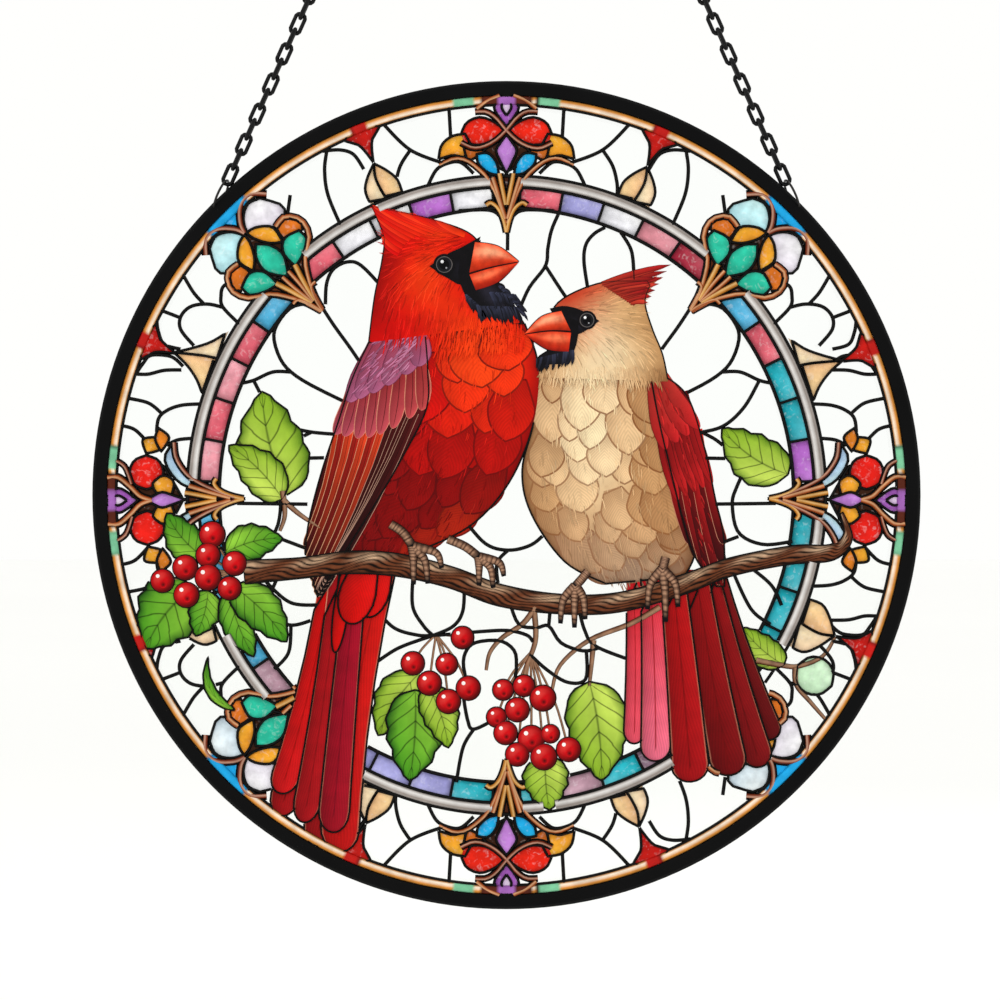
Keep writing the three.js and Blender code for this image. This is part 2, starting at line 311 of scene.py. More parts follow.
def towards_viewer(bm):
    bm.normal_update()
    for face in bm.faces:
        face.smooth = True
        if face.normal.y > 0:
            face.normal_flip()
    return bm


def enamel(name, scale, low, high, roughness=0.3):
    """Fired colour on glass: the colours that the mesh carries, a little cloudy, with a soft shine."""
    material, tree, main = shader(name, roughness, 0.0, 0.08)
    mottled(tree, main, scale, low, high)
    pitted(tree, main, 500, 0.1, 0.0002)
    return material


def glinting(material):
    """Adds painted highlights: pale ripples of light that run through coloured glass."""
    tree = material.node_tree
    main = tree.nodes["Principled BSDF"]
    under = main.inputs["Base Color"].links[0].from_socket
    where = add_node(tree, "TexCoord")
    waves = add_node(tree, "TexNoise", {"Scale": 700, "Distortion": 1.2})
    crests = add_node(tree, "MapRange", {"From Min": 0.56, "From Max": 0.72, "To Max": 0.2})
    glints = add_node(tree, "Mix", {"B": (1, 1, 1, 1)}, data_type="RGBA")
    tree.links.new(where.outputs["Object"], waves.inputs["Vector"])
    tree.links.new(waves.outputs["Fac"], crests.inputs["Value"])
    tree.links.new(crests.outputs["Result"], glints.inputs["Factor"])
    tree.links.new(under, glints.inputs["A"])
    tree.links.new(glints.outputs["Result"], main.inputs["Base Color"])
    return material


STAINED = glinting(enamel("stained_glass", 420, 0.82, 1.16))
bm = sheet()
for sector, row in enumerate(TILES):
    names = row.split()
    start = sector * 45 + STEM_ROOM
    width = (45 - 2 * STEM_ROOM) / len(names)
    for i, name in enumerate(names):
        base = tone(colour(TILE_GLASS[name]), chance.uniform(-0.12, 0.08))
        pale = blend(tone(base, 0.4), (1, 1, 1), 0.12)
        dark = tone(base, -0.45)

        # Each tile gets painted shade at its edges and a painted highlight towards one corner.
        def tile_light_and_shade(u, v, base=base, pale=pale, dark=dark):
            return blend(blend(dark, base, 5 * min(u, 1 - u, v, 1 - v)), pale, 1.1 * u * v)

        a = start + i * width
        patch(
            bm,
            lambda v, a=a: polar(TILE_INNER, a + v * width),
            lambda v, a=a: polar(TILE_OUTER, a + v * width),
            even(4),
            even(6),
            tile_light_and_shade,
            0.02,
        )
piece("tile_row", towards_viewer(bm), STAINED)

# Border ornaments. Coloured panes and bronze strips between the rim and the tile row: fleurs at the top,
# bottom and sides, trefoils between them, and a red dart with two petals half way to each neighbour. Two of
# the darts have petals that flare, and two have broad ones.
DARTS = [23.2 + 45 * i for i in range(8)]
FLARED_DARTS = (1, 6)
BROAD_DARTS = (2, 5)
FLEUR_TURN = (0, 90.8, 180, 269.2)
STEM = [(0, 63), (0.7, 66.5), (1.8, 70.5), (3, 74.4), (3.4, 77.4)]
covers = []
strands = []


def turn(point, degrees):
    """A point turned clockwise round the middle of the panel."""
    c = math.cos(math.radians(degrees))
    s = math.sin(math.radians(degrees))
    return (point[0] * c + point[1] * s, point[1] * c - point[0] * s)


def cover(ring, kind):
    """Notes the outline of something painted, so that what lies under it can stop there."""
    across = [p[0] for p in ring]
    up = [p[1] for p in ring]
    covers.append((min(across), max(across), min(up), max(up), ring, kind))


def outline(*stretches):
    """The points of a closed outline made of smooth stretches that meet in corners."""
    points = []
    for stretch in stretches:
        along = curve(stretch)
        steps = 1 if len(stretch) == 2 else 7 * (len(stretch) - 1)
        points += [along(i / steps) for i in range(steps)]
    return points


def blade(bm, root, tip, width, bow, shape, across, along, tint, lift):
    """A leaf or feather from its root to its tip, bowed to its left."""
    dx = tip[0] - root[0]
    dy = tip[1] - root[1]
    length = math.hypot(dx, dy)

    def edge(side):
        def at(v):
            away = (bow * 4 * v * (1 - v) + side * width / 2 * shape(v)) / length
            return (root[0] + dx * v - dy * away, root[1] + dy * v + dx * away)

        return at

    patch(bm, edge(1), edge(-1), across, along, tint, lift)
    steps = along if len(along) > 8 else even(14)
    return [edge(1)(v) for v in steps] + [edge(-1)(v) for v in steps[-2:0:-1]]


def ball(bm, x, y, radius, tint, lift, steps=20):
    """A round spot. tint is given the share of the radius and of a turn clockwise from the top."""

    def rim_of(v):
        return (x + radius * math.sin(2 * math.pi * v), y + radius * math.cos(2 * math.pi * v))

    patch(bm, lambda v: (x, y), rim_of, [0, 0.35, 0.65, 0.86, 1], even(steps), tint, lift)
    return [rim_of(i / steps) for i in range(steps)]


def line_of(points, count=16):
    along = curve(points)
    return [along(i / count) for i in range(count + 1)]


def stain(code, light=0.5, dark=0.6):
    """Coloured glass, with painted shade at its edges and painted light to one side."""
    base = colour(code)
    pale = tone(base, light)
    deep = tone(base, -dark)

    def tint(u, v):
        within = min(1, 6 * min(u, 1 - u)) * min(1, 7 * v, 7 * (1 - v))
        return blend(deep, blend(base, pale, 1.5 * (1 - u) * v), 0.2 + 0.8 * within)

    return tint


ACROSS = [0, 0.1, 0.3, 0.5, 0.7, 0.9, 1]
glass = sheet()


def lobe(left, right, tint, lift, axis, side=1):
    """A pane between two lines that share their ends. side -1 mirrors it about its axis."""
    a = curve([turn((side * x, y), axis) for x, y in left])
    b = curve([turn((side * x, y), axis) for x, y in right])
    patch(glass, a, b, ACROSS, even(10), tint, lift)
    cover([a(i / 10) for i in range(11)] + [b(i / 10) for i in range(9, 0, -1)], "pane")


def even_lobe(half, tint, lift, axis):
    lobe([(-x, y) for x, y in half], half, tint, lift, axis)


def strand(points, width, tones, axis, side=1, ends=(1, 1)):
    """A bronze strip of an ornament, to be laid when everything that may cover it is known."""
    strands.append(([turn((side * x, y), axis) for x, y in line_of(points)], width, tones, ends))


BRONZE = ("1c0a04", "a34d1c", "ffd9a6")
GOLD = ("2a1205", "c07a26", "ffe2a0")
RUSSET = ("140603", "7c2f14", "f6cdb0")
AMBER = "f09a28"
TEAL = "27b596"
CYAN = "19a5e4"
LILAC = "b478c8"
FLEUR_STEM_STRIPS = [
    ([(4.9, 69.9), (3.7, 70.5), (1.9, 69), (0.7, 66.3), (0, 63.4)], 1.15, GOLD),
    ([(1.7, 77.6), (1.3, 75.4), (0.2, 70)], 1.3, GOLD),
    ([(3.3, 76.6), (2.1, 72.8), (0.3, 66.6)], 1.4, BRONZE),
]
UPRIGHT_PANES = [
    ([(0.3, 88), (3.2, 90.2), (6.5, 91.2), (9.6, 89.9), (10.9, 87.3)],
     [(0.3, 88), (3, 85.8), (6.5, 84.5), (10, 85.2), (10.9, 87.3)], stain("e3220e", 0.2), 0.07),
    ([(16.4, 81), (15.7, 84.4), (13.2, 86.6), (10, 87.2)],
     [(16.4, 81), (13, 82), (10, 81.6), (7, 83.4)], stain(AMBER), 0.04),
    ([(10.4, 84.4), (7.6, 84.1), (4.9, 83.6)],
     [(10.4, 84.4), (9.4, 81), (7.2, 81.6), (4.9, 83.6)], stain("c8661c", 0.2), 0.05),
    ([(1.8, 77.2), (2.4, 80.2), (4.4, 82.5), (7.2, 82.3)],
     [(1.8, 77.2), (4.4, 77.8), (6.8, 80), (7.2, 82.3)], stain(CYAN), 0.06),
]
UPRIGHT_STRIPS = [
    ([(7.6, 92.5), (4.9, 92.5), (2.5, 91), (0, 88), (-2.7, 85.5), (-5.7, 84), (-8.3, 83.8), (-11, 85)],
     1.0, RUSSET),
    ([(7.2, 93.2), (4.9, 95), (1.7, 96.4)], 1.2, BRONZE),
    ([(16.2, 79.6), (12.7, 81.2), (9.7, 80.8), (6.7, 78.7), (4.6, 76.5), (3, 73.6), (1.5, 70), (0.3, 65.5)],
     1.4, BRONZE, (0.7, 0.9)),
]
SIDE_PANES = [
    ([(2.6, 86.8), (3.8, 89.7), (6.7, 90.9), (9.6, 89.7), (10.8, 86.8)],
     [(2.6, 86.8), (3.8, 83.9), (6.7, 82.7), (9.6, 83.9), (10.8, 86.8)], stain("e01c12", 0.2), 0.07),
    ([(15.2, 84.3), (14.6, 87.6), (11.2, 86.8)],
     [(15.2, 84.3), (12.4, 83), (11.2, 86.8)], stain(AMBER), 0.04),
    ([(17.4, 83.8), (14.6, 84.6), (11.6, 83.2)],
     [(17.4, 83.8), (15, 81.2), (11.6, 83.2)], stain("d97a1e"), 0.05),
    ([(1.2, 80.8), (1.4, 84), (3.8, 85.4), (5.6, 83.6)],
     [(1.2, 80.8), (4.2, 80.2), (5.8, 82), (5.6, 83.6)], stain(AMBER), 0.08),
    ([(13.6, 80.4), (10.2, 82.4), (6.2, 80.8), (3.3, 77.6), (1.4, 72)],
     [(13.6, 80.4), (10.2, 80), (6.6, 78), (4.4, 75.6), (1.4, 72)], stain("a9c6ea", 0.7, 0.5), 0.06),
]
SIDE_STRIPS = [
    ([(13.8, 80), (10.2, 79.6), (6.8, 77.6), (4.7, 75.2), (2.6, 71.2), (0.4, 65.6)], 1.1, RUSSET),
    ([(5.6, 96.2), (5.6, 93.6), (3.4, 90.8), (1, 88.4), (0, 85.6)], 1.3, BRONZE),
    ([(9.6, 94), (8, 91.9), (3.9, 90.4)], 0.9, RUSSET),
]
FLEUR_BACK = [(0, 78), (4.4, 80.4), (8.6, 83), (9, 85.6), (5.6, 88), (1.4, 90), (0, 90.4)]
LOZENGE = [(0, 77.4), (1.5, 80.6), (2.5, 83.1), (1.4, 85.1), (0, 87)]
TREFOIL_BACK = [(0, 75), (4.4, 77.6), (6.6, 81.6), (5, 86), (2.4, 88.4), (0, 89.4)]
PEARL_PANE = (
    [(0.5, 89.3), (2.4, 92.2), (5.5, 93.8), (8.6, 92.7)],
    [(0.5, 89.3), (3.5, 87.2), (8, 84.8), (11.2, 87.4), (8.6, 92.7)],
)
TREFOIL_PANES = [
    ([(5.6, 81), (6.4, 84.9), (9.7, 85.2), (11.7, 81.6)],
     [(5.6, 81), (7.2, 81.4), (9.6, 79.6), (11.7, 81.6)], stain("d8701e", 0.2), 0.05),
    ([(0.3, 89.2), (3, 88.4), (5.8, 85.6), (5, 81.4)],
     [(0.3, 89.2), (0.8, 86.6), (2.6, 83.4), (5, 81.4)], stain(AMBER), 0.06),
    ([(3, 75), (3.2, 79.3), (5.9, 81.7), (9.8, 80.6)],
     [(3, 75), (6.2, 75.8), (9.6, 77.8), (9.8, 80.6)], stain(TEAL, 0.45), 0.07),
]
TREFOIL_STRIPS = [
    ([(10.4, 92.2), (7.6, 94.9), (4, 94.7), (1.1, 91.9), (0, 89.4)], 1.3, RUSSET),
    ([(6.4, 85.2), (9.7, 85.4), (11.9, 82), (10.6, 77.9), (6, 74.6), (3.4, 71), (1.4, 67), (0.2, 63)],
     1.6, BRONZE, (0.8, 0.8)),
    ([(3.2, 75.4), (1.9, 71.4), (0.4, 66)], 1.5, GOLD),
    ([(1, 75.4), (0.8, 71.4), (0.1, 66)], 1.2, BRONZE),
    ([(3.8, 69), (2.2, 68.8), (0.8, 66), (0, 62.8)], 1.0, BRONZE),
]


def half_ornament(panes, strips, axis, side):
    """The panes and strips on one side of an ornament's axis."""
    for left, right, tint, lift in panes:
        lobe(left, right, tint, lift, axis, side)
    for points, width, tones, *ends in strips:
        strand(points, width, tones, axis, side, *ends)


def widened(half, share):
    return [(share * x, y) for x, y in half]


for quarter, axis in enumerate(FLEUR_TURN):
    sideways = quarter % 2 == 1
    even_lobe(widened(STEM, 1.5 if sideways else 1.2), stain("4a2008", 0.1), 0.03, axis)
    even_lobe(FLEUR_BACK, stain("3a1c0a", 0.1), 0.025, axis)
    even_lobe([(0, 88.9), (2, 91.5), (3, 93.6), (1.9, 95.6), (0, 96.6)], stain("a65cbc", 0.5), 0.05, axis)
    even_lobe([(0, 91.6), (1.2, 93.8), (0, 96.6)], stain("e2c4ec", 0.6, 0.3), 0.06, axis)
    for side in (-1, 1):
        half_ornament([], FLEUR_STEM_STRIPS, axis, side)
        if sideways:
            half_ornament(SIDE_PANES, SIDE_STRIPS, axis, side)
        else:
            half_ornament(UPRIGHT_PANES, UPRIGHT_STRIPS, axis, side)
    even_lobe(widened(LOZENGE, 0.75 if sideways else 1), stain(LILAC, 0.55), 0.09, axis)

    # The trefoil that follows this fleur clockwise.
    axis = 45 + quarter * 90
    pearls = ("b4e6ef", "e4dcea") if quarter in (0, 3) else ("e4dcea", "cfe2ee")
    even_lobe(widened(STEM, 2.1), stain("5a2a0a", 0.1), 0.03, axis)
    even_lobe(TREFOIL_BACK, stain("3a1c0a", 0.1), 0.035, axis)
    even_lobe([(0, 91.2), (3, 93.4), (6.6, 94.6), (0, 95.6)], stain(CYAN, 0.2), 0.03, axis)
    for side, code in zip((-1, 1), pearls):
        lobe(*PEARL_PANE, stain(code, 0.5, 0.35), 0.04, axis, side)
        half_ornament(TREFOIL_PANES, TREFOIL_STRIPS, axis, side)
    even_lobe([(0, 74.4), (2.9, 79), (2.3, 83), (0, 85.6)], stain(TEAL, 0.45), 0.08, axis)
for i, axis in enumerate(DARTS):
    side = (1, -1)[i % 2]
    even_lobe([(0, 86.4), (0.8, 89.4), (1.9, 91.8), (4.6, 94.2), (0, 95)], stain("c21710", 0.1), 0.04, axis)
    if i in FLARED_DARTS:
        seam = [(0, 87.4), (1.2, 83.6), (2.2, 80.2), (2.8, 77.2)]
        short = [(0, 87.4), (-1.4, 83.6), (-3.6, 80), (-6.4, 77.2)]
        long = [(0, 87.4), (2.8, 83.6), (6, 80), (10, 77.2)]
    else:
        wide = 1.5 if i in BROAD_DARTS else 1
        seam = [(0, 86.2), (0.9, 83), (0.8, 80), (0.3, 77.2)]
        short = widened([(0, 86.2), (-2.2, 83.6), (-3.8, 80.6), (-3.8, 77.2)], wide)
        long = widened([(0, 86.2), (2.7, 83.6), (4.4, 80.8), (4.4, 77.2)], wide)
    lobe(short, seam, stain("f0bc88", 0.4, 0.3), 0.03, axis, side)
    lobe(seam, long, stain("f2d0aa", 0.3, 0.3), 0.03, axis, side)

# A single pale green pane in the border at the lower right.
even_lobe([(0, 81.4), (3.4, 83), (4.6, 86.4), (3.2, 89.6), (0, 91)], stain("c8ecc4", 0.3, 0.3), 0.03, 120.4)
piece("ornament_glass", towards_viewer(glass), STAINED)

# Leaves. Toothed green leaves with a dark midrib and fine slanting veins, some yellow-green and some deep
# green. They are enamel fired on the pane, behind the birds and the branch.
LIME = ("c6de5c", "86b024", "44700e")
GREEN = ("8fca3c", "3f9018", "124a10")
LEAVES = [
    ((-53, 0), (-59, 25), 17, 1.2, LIME),
    ((-54, -1), (-67, 12), 10, -1, LIME),
    ((68, 5), (52, 16), 12, 1.5, LIME),
    ((67, -41), (57, -32), 7.5, 0.8, LIME),
    ((-73, -15), (-82, -4.4), 9, 1, GREEN),
    ((-68, -14), (-54, -10.4), 9, 1, GREEN),
    ((-75, -22), (-87, -37), 16, -1.5, GREEN),
    ((-72, -23), (-75, -34), 8, 0.6, GREEN),
    ((-67, -23), (-61, -39), 8, -0.8, GREEN),
    ((-66, -22), (-53, -35.4), 10, 1, GREEN),
    ((-65.6, -52), (-72, -39), 2.6, 3, GREEN),
    ((-21, -43), (-31, -58), 11, -1, LIME),
    ((-22, -47), (-23.4, -69), 14, 0.6, GREEN),
    ((-19, -46), (-14, -61), 9, 0.8, LIME),
    ((20, -45), (23, -69), 15, 0.8, LIME),
    ((9.4, -63), (10.4, -76), 11, -0.4, LIME),
]


def leafy(pale, base, dark):
    """Colours of one leaf: lit at its root and to its left, with a dark edge and midrib."""
    light = colour(pale)
    middle = colour(base)
    deep = colour(dark)

    def tint(u, v):
        lit = blend(middle, light, 1.5 * (1 - v) * (1.15 - u))
        rib = max(0, 1 - abs(u - 0.5) / 0.035)
        return blend(blend(deep, lit, 6 * min(u, 1 - u) + 0.05), colour("1c3208"), 0.75 * rib)

    return tint


def ovate(v):
    """The share of its full width that a toothed leaf has at a place along it."""
    return max(0.0, math.sin(math.pi * v**0.72)) ** 0.7 * (1 - 0.12 * math.cos(9 * math.pi * v) * v)


def ribbed(name, step, vein, dark, light, lean, roughness, cloudy):
    """Enamel over mesh colours, with slanting lines on both sides of the middle of each leaf or feather."""
    material, tree, main = shader(name, roughness, 0.0, 0.08)
    cloud = mottled(tree, main, *cloudy)
    spans = add_node(tree, "Attribute", attribute_name="span")
    parts = add_node(tree, "SeparateXYZ")
    offside = add_node(tree, "Math", {1: 0.5}, operation="SUBTRACT")
    folded = add_node(tree, "Math", operation="ABSOLUTE")
    slope = add_node(tree, "Math", {1: -lean}, operation="MULTIPLY_ADD")
    rows = add_node(tree, "Math", {1: step}, operation="PINGPONG")
    lines = add_node(tree, "MapRange", {"From Max": vein, "To Min": dark, "To Max": light})
    scored = add_node(tree, "VectorMath", operation="SCALE")
    wire = tree.links.new
    wire(spans.outputs["Vector"], parts.inputs["Vector"])
    wire(parts.outputs["X"], offside.inputs[0])
    wire(offside.outputs["Value"], folded.inputs[0])
    wire(folded.outputs["Value"], slope.inputs[0])
    wire(parts.outputs["Y"], slope.inputs[2])
    wire(slope.outputs["Value"], rows.inputs[0])
    wire(rows.outputs["Value"], lines.inputs["Value"])
    wire(cloud.outputs["Color"], scored.inputs[0])
    wire(lines.outputs["Result"], scored.inputs["Scale"])
    wire(scored.outputs["Vector"], main.inputs["Base Color"])
    return material


LEAF_GREEN = ribbed("leaf_enamel", 0.085, 0.016, 0.2, 1.0, 0.55, 0.32, (160, 0.85, 1.15))
bm = sheet()
LEAF_ACROSS = [0, 0.05, 0.2, 0.35, 0.47, 0.5, 0.53, 0.65, 0.8, 0.95, 1]
for i, (root, tip, width, bow, greens) in enumerate(LEAVES):
    ring = blade(bm, root, tip, width, bow, ovate, LEAF_ACROSS, even(18), leafy(*greens), 0.11 + 0.003 * i)
    cover(ring, "figure")
piece("leaves", towards_viewer(bm), LEAF_GREEN)

# Buff bird. A crested bird that faces left: tan head with a red-tipped crest, dark face, orange beak, cream
# breast feathers with brown edges, a red wing and a fan of tail feathers from bright red to wine. All of it
# is fired enamel, laid in thin layers from the tail up to the head.
def paddle(v):
    """The share of its full width that a round-ended feather has at a place along it."""
    return 0.62 + 0.38 * v / 0.55 if v < 0.55 else math.sqrt(max(0.0, 1 - ((v - 0.55) / 0.45) ** 2))


def shield(v):
    """The same for a short breast feather."""
    return 0.5 + 0.5 * v / 0.45 if v < 0.45 else max(0.0, 1 - ((v - 0.45) / 0.55) ** 2.4) ** 0.8


def strap(v):
    """The same for a long tail or flight feather."""
    return 0.66 + 0.34 * v / 0.92 if v < 0.92 else math.sqrt(max(0.0, 1 - ((v - 0.92) / 0.08) ** 2))


def spike(v):
    """The same for a pointed feather or bristle."""
    return (0.55 + 1.2 * v) * (1 - v) ** 0.6


PLUME_ACROSS = [0, 0.07, 0.25, 0.46, 0.5, 0.54, 0.75, 0.93, 1]
PLUME_ALONG = [0, 0.25, 0.5, 0.66, 0.8, 0.88, 0.93, 0.965, 0.985, 1]
HAIR_ALONG = [0, 0.3, 0.7, 1]
TAIL_ALONG = [0, 0.2, 0.4, 0.6, 0.8, 0.92, 0.95, 0.975, 0.99, 0.997, 1]
BLACK = (0, 0, 0)


def plume(root_tint, tip_tint, edge_tint, shaft_tint=None):
    """Colours of one feather: a change from root to tip, painted light on its left side and painted shade
    on its right, a thin edge line and, if it shows, the shaft.
    """

    def tint(u, v):
        if u in (0, 1) or v == 1:
            return edge_tint
        if shaft_tint and abs(u - 0.5) < 0.01 and v < 0.95:
            return shaft_tint
        return tone(blend(root_tint, tip_tint, v), 0.25 - 0.6 * u)

    return tint


def mix(a, b, share):
    return (a[0] + (b[0] - a[0]) * share, a[1] + (b[1] - a[1]) * share)


def bead(bm, points, width, height, tint, lift=0.0, ends=(1, 1), sides=4):
    """A half-round strip along a line of points. tint is given the place across it and along it."""
    count = len(points)
    made = bmesh.ops.create_grid(bm, x_segments=sides, y_segments=count - 1, size=1)
    paint = bm.verts.layers.float_color["paint"]
    span = bm.verts.layers.float_vector["span"]
    for vert in made["verts"]:
        u = (vert.co.x + 1) / 2
        i = round((vert.co.y + 1) / 2 * (count - 1))
        before = points[max(i - 1, 0)]
        after = points[min(i + 1, count - 1)]
        dx = after[0] - before[0]
        dy = after[1] - before[1]
        length = math.hypot(dx, dy) or 1
        v = i / (count - 1)
        size = ends[0] + (ends[1] - ends[0]) * v
        away = -math.cos(math.pi * u) * width / 2 * size
        up = math.sin(math.pi * u) * height * size
        x = points[i][0] - dy / length * away
        y = points[i][1] + dx / length * away
        vert.co = place(x, y, PANE_HALF + lift + up)
        vert[paint] = (*tint(u, v), 1)
        vert[span] = (u, v, 0)


def scales(bm, left, right, rows, count, hue, edge, lift):
    """Loose breast feathers with thin dark rims between two lines, laid from the lowest row up. Each is
    darker at its root, a painted shadow under the feather above, and darker to one side as painted shade.
    """
    for row in range(rows, 0, -1):
        for i in range(count):
            size = chance.uniform(0.8, 1.5)
            half = 0.55 * size / count
            u = (i + 0.25 + 0.5 * (row % 2) + chance.uniform(-0.25, 0.25)) / count
            u = min(max(u, half), 1 - half)
            v = (row + chance.uniform(-0.4, 0.4)) / (rows + 1)
            start = max(v - 0.9 * size / rows, 0)
            end = min(v + 0.5 * size / rows, 1)
            root = mix(left(start), right(start), u)
            tip = mix(left(end), right(end), u)
            width = min(2 * half * math.dist(left(v), right(v)), 1.2 * math.dist(root, tip))
            base = hue(u, v)
            pale = tone(base, 0.1)
            deep = blend(base, edge, 0.34)
            line = blend(base, edge, 0.8 - 0.3 * v)
            level = lift + 0.004 * (rows - row) + 0.0008 * i

            def tint(across, along, pale=pale, deep=deep):
                return blend(blend(deep, pale, 1.5 * along), deep, 1.8 * (across - 0.6))

            sway = chance.uniform(-0.6, 0.6)
            ring = blade(bm, root, tip, width, sway, shield, even(5), even(7), tint, level)
            bead(bm, ring + ring[:1], 0.42, 0, lambda u, v, line=line: line, level + 0.0004, sides=2)


def fan(bm, roots, tips, count, width, bow, shape, tint_of, lift, rise=0.006):
    """A row of feathers from one line to another."""
    for i in range(count):
        share = i / (count - 1)
        tint = tint_of(i, share)
        level = lift + rise * i
        blade(bm, roots(share), tips(share), width, bow, shape, PLUME_ACROSS, PLUME_ALONG, tint, level)


def hair(bm, left, right, count, flow, hue, lift, length, width, vary=0.48):
    """Fine hair-like feathers strewn between two lines, each along the flow there, in degrees."""
    for i in range(count):
        u = chance.uniform(0.1, 0.9)
        v = 1 - (i + 0.5) / count
        root = mix(left(v), right(v), u)
        angle = math.radians(flow(u, v) + chance.uniform(-9, 9))
        reach = length * chance.uniform(0.6, 1.2)
        tip = (root[0] + reach * math.cos(angle), root[1] + reach * math.sin(angle))
        shade = tone(hue(u, v), chance.uniform(-vary, vary))
        level = lift + 0.05 * i / count
        blade(bm, root, tip, width, 0.1, spike, even(2), HAIR_ALONG, lambda u, v, shade=shade: shade, level)


BUFF_PLUMES = ribbed("buff_plumage", 0.035, 0.035, 0.84, 1.08, 0.8, 0.45, (220, 0.9, 1.1))
CREAM = colour("fadfb2")
ROSE = colour("f0566a")
WINE = colour("6c0408")
SCARLET = colour("d40c12")
NIGHT = colour("140406")
DEEP = colour("3c0204")
EDGE = colour("f0a080")


def tail(bm, feathers, shaft, lift):
    """Long tail feathers, each over the last, with pale edges and a shaft darkened by a share."""
    for level, (root, tip, width, bow, top, foot) in enumerate(feathers):
        tint = plume(top, foot, EDGE, blend(top, BLACK, shaft))
        ring = blade(bm, root, tip, width, bow, strap, PLUME_ACROSS, TAIL_ALONG, tint, lift + 0.01 * level)
        cover(ring, "figure")


def cover_between(one, other, kind):
    """Notes the outline of an area between two lines of points."""
    cover(outline(one, [one[-1], other[-1]], other[::-1], [other[0], one[0]]), kind)


def near(u, v, across, along):
    """One at a place across and along, fading round it. Each is given by its middle and its reach."""
    return math.exp(-(((u - across[0]) / across[1]) ** 2) - ((v - along[0]) / along[1]) ** 2)


bm = sheet()
FAN = [
    ((50.4, -18), (64.2, -59), 6.4, -0.8, colour("7a080c"), colour("5a0508")),
    ((48.6, -18), (61.4, -65.6), 7.4, -0.6, colour("8c060a"), colour("7a0a0e")),
    ((30.6, -19), (30.8, -60), 5.2, 0.4, SCARLET, ROSE),
    ((34.6, -19), (36, -64.2), 7.2, 0.4, SCARLET, colour("f0708a")),
    ((45.6, -18), (54.2, -67.6), 8.8, -0.4, colour("9c080c"), WINE),
    ((40, -19), (44.6, -69.2), 9.0, 0.2, colour("b0080c"), colour("a00a10")),
]
blue = plume(NIGHT, colour("182648"), NIGHT)
blade(bm, (50, -14), (52.6, -28), 4.6, 0, paddle, PLUME_ACROSS, PLUME_ALONG, blue, 0.12)
fan_left = curve([(28.6, -18), (29.6, -30), (29.6, -56)])
fan_right = curve([(51, -18), (56, -36), (62.6, -58)])
patch(bm, fan_left, fan_right, even(2), even(6), lambda u, v: blend(tone(SCARLET, -0.4), WINE, u), 0.13)
tail(bm, FAN, 0.55, 0.14)
piece("buff_bird_tail", towards_viewer(bm), BUFF_PLUMES)

bm = sheet()
BUFF_FRONT = [(7.2, 31), (6.6, 18), (3.8, 6), (6, -4.5), (14, -16), (24, -21.4)]
BUFF_BACK = [(37, 31), (39.6, 18), (42, 6), (44, -6), (45.4, -14), (43, -19.6)]
buff_left = curve(BUFF_FRONT)
buff_right = curve(BUFF_BACK)


# Painted highlight in the middle, greyer lower down, and painted shade at both sides and the bottom.
def buff_breast(u, v):
    lit = near(u, v, (0.42, 0.32), (0.22, 0.4))
    body = blend(colour("cf955a"), CREAM, lit)
    low = blend(body, colour("a08a78"), 1.9 * (v - 0.52))
    shade = max(0, 3.4 * (u - 0.76)) + max(0, 4 * (0.18 - u)) + max(0, 3 * (v - 0.86))
    return blend(low, colour("6a3814"), shade)


patch(bm, buff_left, buff_right, even(16), even(24), buff_breast, 0.22, 14)
scales(bm, buff_left, buff_right, 8, 5, buff_breast, colour("7c3f14"), 0.23)
hair(bm, buff_left, buff_right, 340, lambda u, v: 266 + 26 * v, buff_breast, 0.27, 2.8, 0.3, 0.25)
piece("buff_bird_breast", towards_viewer(bm), BUFF_PLUMES)
cover_between(BUFF_FRONT, BUFF_BACK, "soft")

bm = sheet()
BUFF_WING_OUTER = [(36.6, 29.6), (43.4, 24.2), (47.6, 12), (50.4, -1), (52.4, -10), (52.6, -22)]
BUFF_WING_INNER = [(35, 27.6), (36.8, 18), (39.6, 6), (42.6, -6), (45.6, -15), (50.6, -22)]
BUFF_WING_TIPS = [(44.6, -12), (46.6, -16), (49, -19.6), (51.2, -23), (52.4, -18), (52.6, -12)]
buff_wing_outer = curve(BUFF_WING_OUTER)
buff_wing_inner = curve(BUFF_WING_INNER)


def over_wing(inner, outer):
    """The line across the buff bird's wing between a place on its inner and one on its outer edge."""
    return lambda share: mix(buff_wing_inner(inner), buff_wing_outer(outer), share)


def buff_flight(i, share):
    top = (colour("c41418"), colour("7c0a0e"))[i % 2]
    return plume(top, colour("3a0508"), NIGHT if i % 2 else EDGE)


def buff_covert(i, share):
    return plume(WINE, colour("c01a1c"), colour("3a0608"), NIGHT)


def buff_shoulder(i, share):
    return plume(colour("b03028"), colour("c81c20"), colour("5c0a0c"))


patch(bm, buff_wing_outer, buff_wing_inner, even(6), even(12),
      lambda u, v: blend(colour("a01014"), WINE, v), 0.34)
fan(bm, over_wing(0.34, 0.34), curve(BUFF_WING_TIPS), 7, 2.3, -0.8, strap, buff_flight, 0.35)
fan(bm, over_wing(0.16, 0.18), over_wing(0.52, 0.54), 5, 3.0, -0.5, paddle, buff_covert, 0.41)
fan(bm, over_wing(0.02, 0.05), over_wing(0.32, 0.34), 4, 4.0, -0.4, paddle, buff_shoulder, 0.45)
hair(bm, buff_wing_inner, lambda v: mix(buff_wing_inner(v), buff_wing_outer(v), 0.8), 70, lambda u, v: 288,
     lambda u, v: blend(colour("c8201e"), WINE, v), 0.48, 2.6, 0.4)
piece("buff_bird_wing", towards_viewer(bm), BUFF_PLUMES)
cover_between(BUFF_WING_OUTER, BUFF_WING_INNER, "figure")

